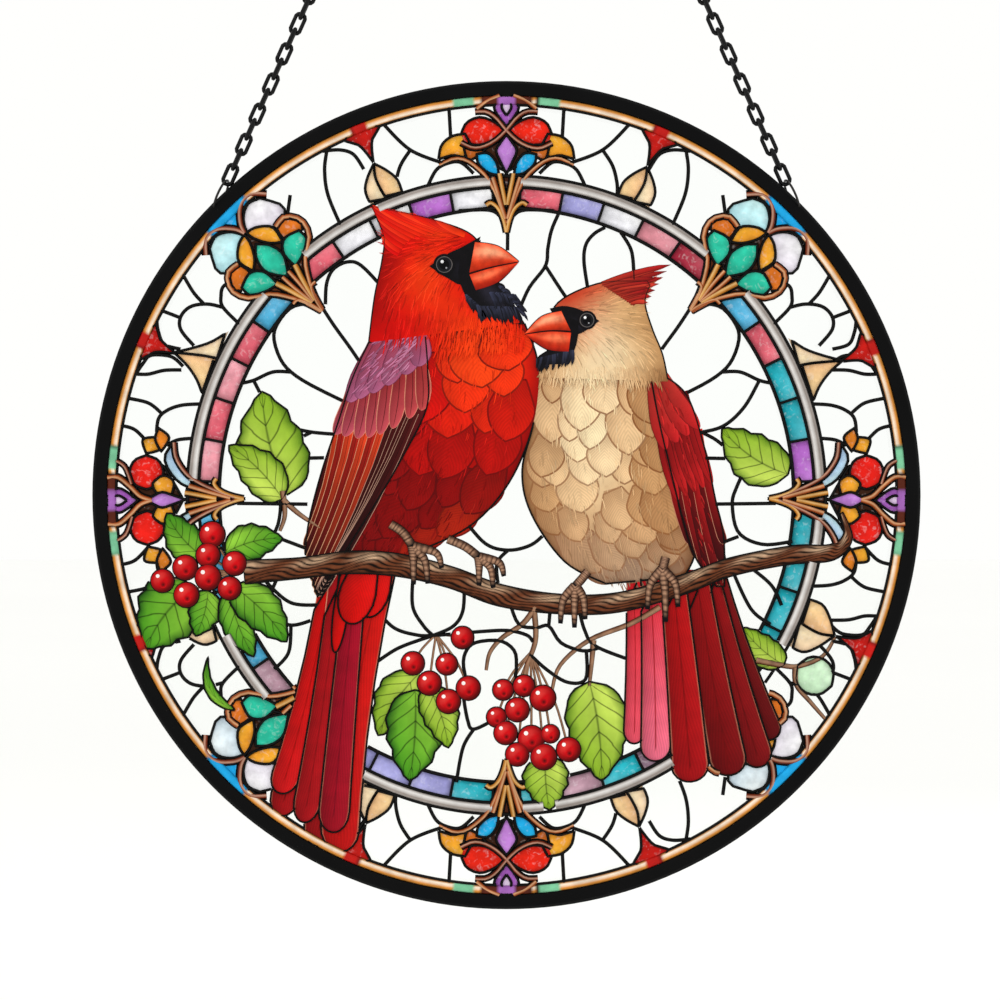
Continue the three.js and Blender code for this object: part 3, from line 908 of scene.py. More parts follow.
bm = sheet()
BUFF_FACE = [(34, 51.6), (22, 51), (11.6, 45.4), (13.4, 37), (7.2, 28.4)]
BUFF_NAPE = [(34.6, 50.6), (33.4, 46.4), (35.2, 40), (37.6, 34), (39, 27.4)]
CREST_REDS = ("b4101a", "e0402e", "8c0a12")
CREST_COUNT = 16
buff_face = curve(BUFF_FACE)
buff_nape = curve(BUFF_NAPE)


def buff_head(u, v):
    cheek = near(u, v, (0.42, 0.3), (0.82, 0.32))
    brow = near(u, v, (0, 0.4), (0.4, 0.3))
    body = blend(blend(colour("dcae76"), colour("a8713f"), 1.4 * (u - 0.6)), CREAM, cheek)
    face = blend(blend(body, colour("b84a28"), 1.1 - 3.2 * v), colour("cc2c12"), 0.95 * brow)
    return blend(face, buff_breast(u, 0.1), 5 * (v - 0.8))


def buff_head_flow(u, v):
    return 32 - 100 * min(1, max(0, 1.5 * (v - 0.22)))


patch(bm, buff_face, buff_nape, even(12), even(16), buff_head, 0.56, 14)
hair(bm, buff_face, buff_nape, 520, buff_head_flow, buff_head, 0.57, 3.2, 0.34, 0.35)
for i in range(CREST_COUNT):
    share = i / (CREST_COUNT - 1)
    root = mix((30.4, 46), (23, 51), share)
    if i % 2:
        tip = mix((33.6, 45.6), (39.8, 55.6), min(1, share * 1.15))
    else:
        tip = mix((32, 47), (36.4, 52.6), share)
    tint = plume(colour("b83422"), colour(CREST_REDS[i % 3]), colour("60080c"))
    blade(bm, root, tip, 1.9, 0.4, spike, even(4), even(6), tint, 0.63 + 0.002 * i)
hair(bm, curve([(4.6, 31), (4.6, 28)]), curve([(41, 31), (41, 27.4)]), 130, lambda u, v: 254 + 32 * u,
     lambda u, v: buff_breast(u, 0.1), 0.64, 2.6, 0.36, 0.1)
piece("buff_bird_head", towards_viewer(bm), BUFF_PLUMES)
cover_between(BUFF_FACE, BUFF_NAPE, "soft")

# Mask, eye and beak of the buff bird. Black enamel with ragged bristles along its lower edge, a dark round
# eye, and a short thick beak in two halves, all laid over the head.
SOOT = colour("0c0a0d")
MASKS = enamel("mask_enamel", 500, 0.7, 1.3, 0.4)


# Black of the masks, with a paler grey-blue painted sheen low in its middle.
def mask_black_with_sheen(u, v):
    return blend(SOOT, colour("2c2a38"), 0.6 * near(u, v, (0.6, 0.2), (0.75, 0.2)))


def bristles(bm, left, right, count, reach, degrees, lift):
    """Black bristles from one point to another, so that the edge of a mask is ragged."""
    for i in range(count):
        root = mix(left, right, i / (count - 1))
        angle = math.radians(degrees + chance.uniform(-14, 14))
        length = reach * chance.uniform(0.7, 1.2)
        tip = (root[0] + length * math.cos(angle), root[1] + length * math.sin(angle))
        grey = blend(SOOT, colour("3c4058"), chance.uniform(0, 0.9))

        def tint(u, v, grey=grey):
            return blend(grey, SOOT, v)

        blade(bm, root, tip, 1.0, 0.2, spike, even(2), even(4), tint, lift + 0.001 * i)


def eye(bm, x, y, size, iris, lift):
    """A round eye: dark lid, pale lid line, iris, pupil and two small highlights."""
    spots = [
        (0, 0, 2.6, SOOT),
        (0, 0, 2.0, colour("6a6462")),
        (0, 0, 1.8, iris),
        (0, 0, 1.2, colour("020203")),
        (-0.5, 0.7, 0.4, (1, 1, 1)),
        (0.5, -0.8, 0.22, (0.4, 0.4, 0.42)),
    ]
    for i, (dx, dy, radius, shade) in enumerate(spots):

        def tint(u, v, shade=shade):
            return blend(shade, SOOT, 0.25 * u)

        ball(bm, x + dx * size, y + dy * size, radius * size, tint, lift + 0.006 * i)


def horn(base, dark, light, shine, across, along):
    """Colours of one half of a beak, darker to one side as painted shade, with a painted highlight at a
    place across and along it.
    """

    def tint(u, v):
        body = blend(colour(base), colour(dark), (u - 0.4) * 1.6)
        return blend(body, colour(light), shine * near(u, v, across, along))

    return tint


def beak(bm, ridge, gape, chin, lift):
    """Two horny halves of a short thick bill, parted by a dark line."""
    upper = horn("f0441a", "a01c08", "ffb488", 0.9, (0.3, 0.2), (0.4, 0.35))
    lower = horn("e03210", "8a1206", "ff8a5c", 0.7, (0.35, 0.2), (0.35, 0.3))
    patch(bm, curve(ridge), curve(gape), even(8), even(12), upper, lift)
    patch(bm, curve(gape), curve(chin), even(8), even(12), lower, lift)
    bead(bm, line_of(gape, 12), 0.5, 0.05, lambda u, v: colour("2a0604"), lift + 0.01, (1, 0.5))


bm = sheet()
patch(bm, curve([(10.4, 45), (14, 45.6), (18, 44.6), (22.4, 42)]),
      curve([(10.4, 45), (13.6, 40), (17.4, 38.8), (22.4, 42)]), even(6), even(10), mask_black_with_sheen, 0.74)
patch(bm, curve([(11.4, 44), (12, 40), (10.4, 35.6), (7.6, 33.4), (7.4, 31.4)]),
      curve([(17.4, 42), (17.2, 38), (16.4, 35), (15.4, 33), (13.6, 31.6)]), even(8), even(14), mask_black_with_sheen, 0.75)
bristles(bm, (7.4, 33), (16, 35), 30, 3.4, 262, 0.76)
eye(bm, 19.4, 42.2, 0.88, colour("17171a"), 0.8)
beak(bm, [(13.2, 44.4), (8.4, 43), (4.4, 38.9)], [(15.6, 39.4), (10.4, 39.6), (4.4, 38.8)],
     [(15, 34.6), (9.8, 35.2), (4.4, 38.7)], 0.85)
piece("buff_bird_face", towards_viewer(bm), MASKS)
cover(outline([(13.2, 44.4), (8.4, 43), (4.4, 38.9)], [(4.4, 38.9), (9.8, 35.2), (15, 34.6)],
              [(15, 34.6), (15.8, 39), (13.2, 44.4)]), "figure")

# Red bird. Its mate faces right: black mask and bib, orange beak, bright breast that deepens to the belly,
# a folded wing with mauve shoulder and dark flight feathers, and a long tail that runs behind the branch
# down to the rim. It is fired enamel in layers like the buff bird.
RED_PLUMES = ribbed("red_plumage", 0.035, 0.035, 0.84, 1.08, 0.8, 0.45, (220, 0.88, 1.12))
CRIMSON = colour("800000")
RED = colour("d60400")
ORANGE = colour("ff440a")
MAUVE = colour("a2587c")

bm = sheet()
TRAIN = [
    ((-42, -17), (-54.6, -77.4), 7, 0.8, CRIMSON, colour("a00a10")),
    ((-38, -17), (-45.6, -84.6), 8, 0.4, CRIMSON, colour("9c0a10")),
    ((-29.6, -17), (-40.6, -86), 9.4, -1.6, colour("d01008"), colour("b80c0c")),
    ((-42.4, -17), (-54.6, -72), 6.8, 1.4, RED, colour("c81014")),
    ((-40.4, -17), (-49, -79), 6.4, 0.8, colour("b00a14"), colour("a40c14")),
    ((-36, -17), (-42, -81.4), 7.4, -0.2, colour("a00424"), colour("98081c")),
]
TAIL_COVERTS = [
    ((-38, -14), (-41.4, -38), 3.6),
    ((-29.6, -15), (-34, -29.4), 8),
    ((-33.4, -15), (-38, -31), 9),
]
tail(bm, TRAIN, 0.5, 0.14)
for level, (root, tip, width) in enumerate(TAIL_COVERTS):
    tint = plume(colour("c80e0a"), RED, DEEP)
    ring = blade(bm, root, tip, width, 0, paddle, PLUME_ACROSS, PLUME_ALONG, tint, 0.21 + 0.01 * level)
    cover(ring, "figure")
piece("red_bird_tail", towards_viewer(bm), RED_PLUMES)

bm = sheet()
BREAST_BACK = [(-31, 40), (-31, 28), (-31, 16), (-33, 4), (-37, -7), (-38, -14.6)]
BREAST_FRONT = [(4.4, 41.4), (7.7, 31), (6.4, 17), (0.6, 3), (-9, -7.6), (-24, -14.6)]
breast_left = curve(BREAST_BACK)
breast_right = curve(BREAST_FRONT)


# Painted highlight high on the front, a painted rim light along the lower front edge, deeper red lower
# down, and painted shade at both sides.
def red_breast(u, v):
    lit = 0.9 * near(u, v, (0.66, 0.22), (0.14, 0.2))
    low = blend(RED, CRIMSON, 2.4 * (v - 0.26))
    painted_rim_light = near(u, v, (0.9, 0.06), (0.85, 0.14))
    body = blend(blend(low, ORANGE, lit), colour("f03c10"), 0.7 * painted_rim_light)
    shade = max(0, 6 * (u - 0.9)) + max(0, 2.6 * (0.34 - u)) * min(1, 3 * v)
    return blend(body, colour("6c0003"), shade)


patch(bm, breast_left, breast_right, even(16), even(24), red_breast, 0.3, 14)
scales(bm, breast_left, breast_right, 7, 4, red_breast, DEEP, 0.31)
hair(bm, breast_left, breast_right, 300, lambda u, v: 274 - 44 * v, red_breast, 0.35, 3, 0.3)
piece("red_bird_breast", towards_viewer(bm), RED_PLUMES)
cover_between(BREAST_FRONT, BREAST_BACK, "soft")

bm = sheet()
WING_OUTER = [(-32.6, 38), (-37, 28.6), (-40.6, 17.6), (-44.6, 5.6), (-47.6, -6), (-48.6, -14)]
WING_INNER = [(-19.6, 38.6), (-19, 30), (-19.4, 20.6), (-25.7, 8.1), (-31.8, -2.3), (-45.6, -24.6)]
FLIGHT_ROOTS = [(-40.4, 18), (-34, 18), (-27, 18), (-22, 20)]
FLIGHT_TIPS = [(-48.4, -13), (-47.8, -17.4), (-46.8, -21.6), (-45.8, -24.6), (-44.8, -23), (-43.8, -21)]
COVERT_ROOTS = [(-37.6, 25), (-30, 30), (-21, 33.6)]
COVERT_TIPS = [(-41.4, 14.6), (-35, 13.6), (-28.6, 15.4), (-20.4, 20.4)]
SHOULDER_ROOTS = [(-30.6, 38.8), (-26, 40), (-21, 39.6)]
SHOULDER_TIPS = [(-38.2, 22.4), (-31, 25.4), (-21.4, 31)]
SHOULDER_BACK = [(-31.6, 38.6), (-34.6, 32), (-37.6, 24.6)]
SHOULDER_FRONT = [(-20, 39), (-20.6, 35), (-22, 31.6)]
patch(bm, curve(WING_OUTER), curve(WING_INNER), even(6), even(12),
      lambda u, v: blend(colour("7a1c24"), DEEP, 1.6 * v), 0.4)


def flight_tint(i, share):
    if share > 0.62:
        return plume(colour("4a0c0c"), NIGHT, colour("d8a890"), NIGHT)
    body = (colour("e0401c"), colour("b01c10"))[i % 2]
    return plume(body, NIGHT, colour("f4b88c"), NIGHT)


def covert_tint(i, share):
    foot = blend(colour("c8484a"), MAUVE, 0.4 * (1 - share))
    return plume(colour("8c1c1c"), foot, EDGE, DEEP)


def shoulder_tint(i, share):
    return plume(colour("b03a4c"), MAUVE, colour("5a2038"), colour("6a2c48"))


fan(bm, curve(FLIGHT_ROOTS), curve(FLIGHT_TIPS), 12, 2.9, 1.2, strap, flight_tint, 0.41, 0.004)
fan(bm, curve(COVERT_ROOTS), curve(COVERT_TIPS), 8, 4.0, 0.6, paddle, covert_tint, 0.47)
fan(bm, curve(SHOULDER_ROOTS), curve(SHOULDER_TIPS), 6, 5.6, 0.5, paddle, shoulder_tint, 0.51)
hair(bm, curve(SHOULDER_BACK), curve(SHOULDER_FRONT), 110, lambda u, v: 222,
     lambda u, v: blend(MAUVE, colour("cf8aa6"), 0.5 * u), 0.55, 3.2, 0.4)
piece("red_bird_wing", towards_viewer(bm), RED_PLUMES)
cover_between(WING_OUTER, WING_INNER, "figure")

bm = sheet()
HEAD_NAPE = [(-32.4, 69.4), (-29.6, 62.5), (-30, 56.5), (-31.8, 47.8), (-33.2, 36.8)]
HEAD_FRONT = [(-32.3, 69.6), (-17, 66.2), (-7.4, 61.8), (-5.8, 53), (4.2, 41.6)]
CREST_ROOTS = [(-26, 58), (-24, 61), (-20, 63), (-14, 63.6), (-10, 62.6)]
CREST_TIPS = [(-30, 61.4), (-30.8, 66), (-32.8, 69.8), (-27, 68.6), (-17, 66.2)]
HAIR_FROM = 0.2
head_nape = curve(HEAD_NAPE)
head_front = curve(HEAD_FRONT)


def red_head(u, v):
    cheek = near(u, v, (0.5, 0.24), (0.68, 0.2))
    brow = near(u, v, (0.75, 0.16), (0.32, 0.12))
    face = blend(blend(RED, CRIMSON, max(0, 0.8 - 2.6 * u)), ORANGE, 0.7 * cheek + 0.75 * brow)
    return blend(face, red_breast(u, 0.06), 5 * (v - 0.8))


def below_crest(v):
    return HAIR_FROM + (1 - HAIR_FROM) * v


def red_head_flow(u, v):
    return 150 + 108 * min(1, max(0, 1.5 * (v - 0.1)))


def crest_tint(i, share):
    foot = (colour("c80c0c"), colour("ee3416"), RED)[i % 3]
    return plume(blend(RED, ORANGE, 0.6 * share), foot, CRIMSON)


patch(bm, head_nape, head_front, even(12), even(16), red_head, 0.6, 14)
hair(bm, lambda v: head_nape(below_crest(v)), lambda v: head_front(below_crest(v)), 620, red_head_flow,
     lambda u, v: red_head(u, below_crest(v)), 0.61, 3.6, 0.34)
fan(bm, curve(CREST_ROOTS), curve(CREST_TIPS), 14, 2.2, 0.15, spike, crest_tint, 0.67, 0.002)
hair(bm, curve([(-21.6, 42), (-20, 34)]), curve([(6, 45), (7, 37)]), 320, lambda u, v: 250 + 22 * u,
     lambda u, v: red_breast(0.35 + 0.6 * u, 0.02 + 0.1 * v), 0.67, 3.2, 0.36, 0.2)
piece("red_bird_head", towards_viewer(bm), RED_PLUMES)
cover_between(HEAD_FRONT, HEAD_NAPE, "soft")

# Mask, eye and beak of the red bird. Black enamel round the beak and down over the throat, made ragged by
# rows of bristles, with a round eye and an orange beak laid over it.
bm = sheet()
patch(bm, curve([(-18.6, 55.2), (-14.5, 58), (-10.4, 60), (-6.2, 62.4)]),
      curve([(-18.6, 55.2), (-14, 52.2), (-10, 51.4), (-6.2, 62.4)]), even(8), even(12), mask_black_with_sheen, 0.74)
patch(bm, curve([(-10.8, 58.4), (-11.6, 53), (-9.6, 47.6), (-6.2, 43.8)]),
      curve([(-6.2, 61.6), (-6, 54), (-1.4, 51), (3.2, 43.8)]), even(8), even(14), mask_black_with_sheen, 0.75)
bristles(bm, (-9.8, 48.4), (-5.6, 44.6), 24, 3, 286, 0.76)
bristles(bm, (-7, 45.6), (2.8, 45.4), 36, 4, 292, 0.78)
bristles(bm, (-4, 49), (2, 48.4), 22, 4, 296, 0.8)
bristles(bm, (-2.4, 51), (3.2, 45), 22, 2.8, 322, 0.815)
eye(bm, -15, 55.6, 1, colour("1a1b20"), 0.82)
beak(bm, [(-7.6, 61), (-2, 60), (2.9, 56.4)], [(-9, 53.4), (-3.3, 55), (2.9, 56.2)],
     [(-7.4, 49.4), (-2, 51.4), (2.9, 56)], 0.87)
piece("red_bird_face", towards_viewer(bm), MASKS)
cover(outline([(-7.6, 61), (-2, 60), (2.9, 56.4)], [(2.9, 56.4), (-2, 51.4), (-7.4, 49.4)],
              [(-7.4, 49.4), (-9.2, 53.6), (-7.6, 61)]), "figure")

# Branch. Brown enamel with a lit upper side and dark streaks of bark, right across the picture in front of
# the tails. Its thin right end curls up into the fleur.
BRANCH_TOP = [
    (-63.5, -15.8), (-50, -15.2), (-38, -13.6), (-26, -14.2), (-13, -17.4), (-1, -21.7), (13, -24),
    (27, -23.6), (42, -19.4), (54, -15.2), (69, -12.3), (78, -12), (81.4, -9.4), (80.6, -4.6),
]
BRANCH_UNDER = [
    (-63, -21.4), (-50, -20.1), (-38, -18.9), (-26, -19.6), (-14, -22.3), (-2, -26.7), (13, -28.6),
    (27, -28.2), (42, -24.2), (54, -19.6), (68, -16.7), (79, -15.6), (83.4, -10.6), (81.2, -4.2),
]
# The palest of these three colours is the painted highlight along the branch and the stalks.
TWIG_DARK = colour("100602")
TWIG = colour("6e3a20")
TWIG_HIGHLIGHT = colour("e2be9a")


def crown(u, middle, reach):
    """One along a line across a strip, fading to both sides of it."""
    return math.exp(-(((u - middle) / reach) ** 2))


# Stalk colours: painted shade at both edges and a painted highlight along the strip.
def bark(u, v):
    lit = crown(u, 0.62, 0.2)
    return blend(blend(TWIG_DARK, TWIG, 2.6 * min(u, 1 - u)), TWIG_HIGHLIGHT, 0.4 * lit)


# Bark with dark streaks, a painted highlight along its upper side broken up by the knots, and painted shade
# at both edges.
def rough_bark(u, v):
    ridge = 0.5 + 0.5 * math.sin(34 * u + 5 * math.sin(40 * v) + 3 * math.sin(97 * v + 5 * u))
    knot = 0.5 + 0.5 * math.sin(70 * v + 4 * u)
    lit = crown(u, 0.25, 0.2)
    body = blend(blend(TWIG_DARK, TWIG, 5 * min(u, 1 - u)), TWIG_HIGHLIGHT, 0.7 * lit * knot)
    return blend(body, TWIG_DARK, 1.8 * ridge**3 * (0.4 + u))


BARK = enamel("bark_enamel", 420, 0.7, 1.3, 0.45)
bm = sheet()
patch(bm, curve(BRANCH_TOP), curve(BRANCH_UNDER), even(24), even(260), rough_bark, 0.64)
piece("branch", towards_viewer(bm), BARK)
cover_between(BRANCH_TOP, BRANCH_UNDER, "figure")

# Berries. Round red berries in three clusters on thin brown stalks that hang from the branch. Each is a
# spot of enamel with a painted highlight and a dark eye, and the stalks are fine raised lines.
BERRY = colour("cc0610")
CLUSTERS = [
    ((-71, -18.5), [(0, 9, 3.1), (-1, 4, 2.9), (-6.5, 1, 3.0), (-12, -2.2, 2.8), (-1, -1.4, 3.1),
                    (5.4, 2, 2.9), (4.2, -4, 2.8), (-6.2, -5.6, 3.0)]),
    ((-18, -45), [(7.4, 10.6, 2.7), (-4.6, 4.4, 2.8), (3.6, 4.2, 2.6), (-0.6, -0.4, 2.9), (4, -4.8, 2.9),
                  (8.8, -1.6, 2.9)]),
    ((5, -55), [(-5.8, 8, 2.5), (-0.8, 9, 2.6), (3.8, 6, 3.1), (-2.4, 3.2, 2.9), (-7.4, 1.4, 2.4),
                (-5.2, -2.4, 2.8), (1, -3.8, 3.2), (5.6, -2.6, 2.2), (-2.4, -7.6, 2.8), (4, -8.2, 3.1),
                (10, -6.4, 2.9)]),
]
STALKS = [
    [(7, -27), (4, -31), (-1, -34.4), (-4, -38), (-4.9, -42.3)],
    [(6.6, -27), (7, -35), (4.6, -42), (4.2, -47)],
    [(37, -27), (30, -31), (20, -35), (13, -41), (11, -47)],
    [(21, -35), (20.6, -40), (20, -46)],
    [(-54, 1), (-53.5, -4.8), (-54.7, -8.7)],
    [(-54, -1), (-50, -4.6), (-45, -7.9)],
    [(60.3, -39.9), (66, -41), (70.5, -41.3), (76.3, -38.9), (79.4, -34.1)],
    [(69.7, -41.6), (70, -45.8), (73.4, -50), (77.7, -54.9)],
]
KNOTS = [(-66, -18.5), (-17, -33.6), (5.8, -38)]


# Painted light on the side of each berry that faces the light, and painted shade towards its rim and on the
# far side.
def berry(u, v):
    facing = math.cos(2 * math.pi * (v + 0.12))
    body = blend(BERRY, blend(BERRY, BLACK, 0.85), (u - 0.4) * 1.4 - 0.5 * facing * u)
    return blend(body, colour("f05a52"), 2.2 * max(0, facing) * max(0, u * (0.86 - u)))


def berry_eye(u, v):
    return blend(colour("3a0204"), BERRY, u)


def highlight(u, v):
    return (1, 0.92, 0.9)


bm = sheet()
stalks = sheet()
for path in STALKS:
    bead(stalks, line_of(path, 20), 1.2, 0.5, bark, 0.1, (1.3, 0.7))
for knot, ((cx, cy), spots) in zip(KNOTS, CLUSTERS):
    for i, (dx, dy, radius) in enumerate(spots):
        x = cx + dx
        y = cy + dy
        level = 0.68 + 0.006 * i
        bend = mix(knot, (x, y), 0.5)
        bead(stalks, line_of([knot, (bend[0] + 0.12 * dx, bend[1]), (x, y)], 10), 0.6, 0.3, bark, 0.1)
        cover(ball(bm, x, y, radius, berry, level), "figure")
        ball(bm, x - 0.4 * radius, y + 0.42 * radius, 0.17 * radius, highlight, level + 0.004, 8)
        ball(bm, x + 0.2, y - 0.9, 0.3 * radius, berry_eye, level + 0.003, 10)
piece("berries", towards_viewer(bm), enamel("berry_enamel", 300, 0.9, 1.1, 0.2))
piece("stalks", towards_viewer(stalks), BARK)

# Feet. Each bird grips the branch with brown ringed toes that end in dark claws. They are raised enamel
# lines over the branch, from the belly down to the ankle and on to three claws.
FEET = [
    ([(-28, -7), (-25, -9), (-22.6, -12.4)], [(-22.4, -21.6), (-19, -21.4), (-15.6, -17.6)]),
    ([(-14.2, -10.6), (-10, -12.4), (-6.6, -15)], [(-6.6, -21.8), (-3.2, -22.4), (-0.6, -19.6)]),
    ([(19.6, -18.4), (18.2, -20.2), (16.6, -22)], [(13, -31), (16.4, -32), (19, -30)]),
    ([(38.4, -15), (38, -16.6), (37.6, -18)], [(34, -27.6), (38.4, -30.6), (41.4, -27)]),
]
bm = sheet()


# Brown toes with dark bands, lighter along the middle as a painted highlight and darker at the edges as
# painted shade, with dark claws at the tips.
def toe_tint(u, v):
    ring = 0.5 + 0.5 * math.cos(62 * v)
    body = blend(colour("1c0a05"), colour("c09274"), crown(u, 0.45, 0.2))
    return blend(blend(body, colour("2a0e08"), 0.95 * ring**2), SOOT, 7 * (v - 0.76))


for leg, claws in FEET:
    bead(bm, line_of(leg, 24), 2.2, 0.4, toe_tint, 0.69, (1.0, 1.0), 6)
    ankle = leg[-1]
    for claw in claws:
        knuckle = mix(ankle, claw, 0.45)
        out = (claw[0] - ankle[0]) * 0.35
        toe = line_of([ankle, (knuckle[0] + out, knuckle[1] + 0.8), claw], 32)
        bead(bm, toe, 2.7, 0.45, toe_tint, 0.7, (1, 0.4), 6)
piece("feet", towards_viewer(bm), enamel("foot_enamel", 500, 0.85, 1.15, 0.4))

# Strips of the ornaments. Half-round bronze laid over the edges of the panes and drawn together into
# pointed stems. They are soldered to the glass, and stop where a bird, a leaf or a berry covers them.
STRIP_LIFT = 0.05
STRIP_HEIGHT = 1.0


def inside(point, shape):
    """Whether a point lies within one of the noted outlines."""
    x, y = point
    if not (shape[0] < x < shape[1] and shape[2] < y < shape[3]):
        return False
    ring = shape[4]
    odd = False
    for i, (x1, y1) in enumerate(ring):
        x2, y2 = ring[i - 1]
        if (y1 > y) != (y2 > y) and x < (x2 - x1) * (y - y1) / (y2 - y1) + x1:
            odd = not odd
    return odd


def fine(points, step=0.6):
    """The line with points no further apart than the step."""
    made = [points[0]]
    for a, b in zip(points, points[1:]):
        count = max(1, math.ceil(math.dist(a, b) / step))
        made += [mix(a, b, i / count) for i in range(1, count + 1)]
    return made


def strip(bm, points, above, width, height, tint, ends=(1, 1), sides=4, least=3):
    """A raised strip, left out where a shape above covers it and where too little would be left."""
    run = []
    spots = fine(points)
    for i, point in enumerate(spots + [None]):
        if point and not any(inside(point, shape) for shape in above):
            run = run or spots[max(i - 1, 0) : i]
            run.append(point)
            continue
        if len(run) >= least:
            share = (i - len(run)) / len(spots)
            first = ends[0] + (ends[1] - ends[0]) * share
            last = ends[0] + (ends[1] - ends[0]) * i / len(spots)
            bead(bm, run, width, height, tint, STRIP_LIFT, (first, last), sides)
        run = []


def metal_tint(dark, base, light, shine=0.55):
    """Colours across a half-round strip: dark edges, partly outline and partly painted shade, and one
    bright line, a painted highlight.
    """
    low = colour(dark)
    middle = colour(base)
    high = colour(light)

    def tint(u, v):
        return blend(blend(low, middle, 5 * (min(u, 1 - u) - 0.1)), high, shine * crown(u, 0.42, 0.1))

    return tint


def laid_metal(name, shine, cloud, pits):
    """Metal laid on the glass in strips, over the colours that the mesh carries."""
    material, tree, main = shader(name, *shine)
    mottled(tree, main, *cloud)
    pitted(tree, main, *pits)
    return material


BRONZE_STRIP = laid_metal("bronze_strip", (0.4, 0.2, 0.15), (300, 0.8, 1.15), (700, 0.2, 0.0003))
figures = [shape for shape in covers if shape[5] != "pane"]
bm = sheet()
for points, width, tones, ends in strands:
    strip(bm, points, figures, width, STRIP_HEIGHT, metal_tint(*tones), ends, 8)
piece("ornament_strips", towards_viewer(bm), BRONZE_STRIP)

# Leading. Raised half-round black lines between the clear cells and round the panes and figures, one
# network bedded on the glass. Lines stop where a figure covers them, and each bronze strip has a broader
# dark line under it.
LEAD_HEIGHT = 0.7
LINE_WIDTH = 0.9
STRIP_BED_HEIGHT = 0.45
STRIP_BED_SPARE = 0.75


# Black lead patina with a faint painted highlight along it.
def lead_tint_with_highlight(u, v):
    return blend(colour("030303"), colour("2c2a28"), 0.4 * crown(u, 0.4, 0.12))


def arc(radius, start, end, steps=240):
    return [polar(radius, start + (end - start) * i / steps) for i in range(steps + 1)]


LEAD_MATERIAL = laid_metal("lead_black_and_highlight", (0.45, 0.0, 0.08), (500, 0.7, 1.4), (900, 0.2, 0.0003))
bm = sheet()


def lead(points, above, width, least=3):
    strip(bm, points, above, width, LEAD_HEIGHT, lead_tint_with_highlight, least=least)


for points, width, tones, ends in strands:
    strip(bm, points, figures, width + STRIP_BED_SPARE, STRIP_BED_HEIGHT, lead_tint_with_highlight, ends)

# Lines of the border in the upper right quarter. The other three quarters mirror them.
BORDER_LINES = [
    [(13.9, 94), (13.4, 85)],
    [(29.6, 89.4), (23.2, 83.3), (15, 80)],
    [(23.2, 83.3), (25.6, 79.5), (26.7, 75.2), (26.7, 72)],
    [(7.9, 77.6), (11.1, 80.3), (14.4, 80), (17, 78.4), (19, 74.6)],
    [(34.4, 78.6), (36.9, 82.2), (40.2, 83.3), (44.4, 83)],
    [(43.4, 82.9), (43.9, 78.4), (43.1, 72.5), (40, 65)],
    [(52.2, 72.4), (52.8, 68)],
    [(64, 52.4), (68.1, 50.6), (68.9, 48), (68.4, 45.3), (64.4, 41.2)],
    [(68.4, 45.3), (72.2, 46.1), (76.2, 45.5), (78.6, 43.1), (78.6, 39.9), (75.4, 36)],
    [(73, 46.1), (75.6, 49), (78.2, 53.4)],
    [(78.7, 42.8), (83.4, 44.6)],
    [(78.6, 35.2), (82.6, 36.4), (84, 39.4), (84.4, 42)],
    [(78, 31), (80, 32.9), (82.1, 33.7), (85.9, 33.7), (87.7, 31.8), (89.6, 29)],
    [(78.4, 30.2), (82.6, 30.1), (86.4, 29.2), (89.4, 29.2)],
    [(73.6, 22), (78.3, 21.7), (81.8, 20.5), (84, 18.4), (84.5, 14)],
    [(83.2, 19.7), (86.4, 22.2), (91.4, 23.4)],
    [(86, 12), (89.6, 15.7), (93, 16.8)],
    [(75.8, 13.7), (79.4, 13.3), (82, 12)],
]

# Lines of the inner field on the right. The left half mirrors them.
FIELD_LINES = [
    [(0.5, 64.5), (1.7, 67.4), (4.5, 68.8), (11.5, 68.6)],
    [(44.3, 45), (41.4, 40.6), (37.7, 35.5), (34, 30)],
    [(44.3, 45), (48.3, 46.1), (52.3, 45), (55.5, 40.9), (56.1, 37.5), (54.6, 32.9), (52, 29.7),
     (47.1, 26.5), (38, 22)],
    [(52, 29.7), (56.4, 29.7), (61, 27.7), (64, 27)],
    [(61, 27.6), (57.5, 21.4), (52.9, 17), (47.7, 15.3), (40, 14.6)],
    [(47, 15.2), (50.6, 13.3), (54, 10.4)],
    [(44, 9), (54, 8.8)],
    [(58, 7), (55.6, 2), (54.5, -2.2), (56, -9), (61.8, -11.9), (69, -11.2)],
    [(48, -2.2), (65, -2)],
    [(48, -13), (56, -10)],
    [(54, -17), (58.9, -27.3), (63.7, -31.2)],
    [(56.9, -16), (63.7, -21.5), (66.4, -26.6)],
]

# Lines that stand on one side only: over and between the heads, and beside the red bird's tail.
ONE_SIDED_LINES = [
    [(0.3, 64), (0.2, 54)],
    [(12.8, 68.4), (10.9, 64), (10, 59.6), (9.4, 55.3), (5.4, 49.9), (2.6, 43.4)],
    [(9.4, 55.3), (13.5, 49), (15, 47)],
    [(19.6, 50), (18.7, 56.5), (19.2, 60.5), (21.2, 63.1), (23.8, 64.6)],
    [(27.6, 63.4), (30.2, 58.8), (30.8, 52)],
    [(-43.7, 46), (-43.4, 51.1), (-41.7, 54.6), (-38.2, 56.3), (-34.8, 55.2), (-29, 49)],
    [(-58, -21), (-52, -26), (-44, -26.5)],
    [(-58, -28), (-52, -31.4), (-44, -29)],
    [(-52, -31.4), (-52.6, -38), (-56, -42)],
]

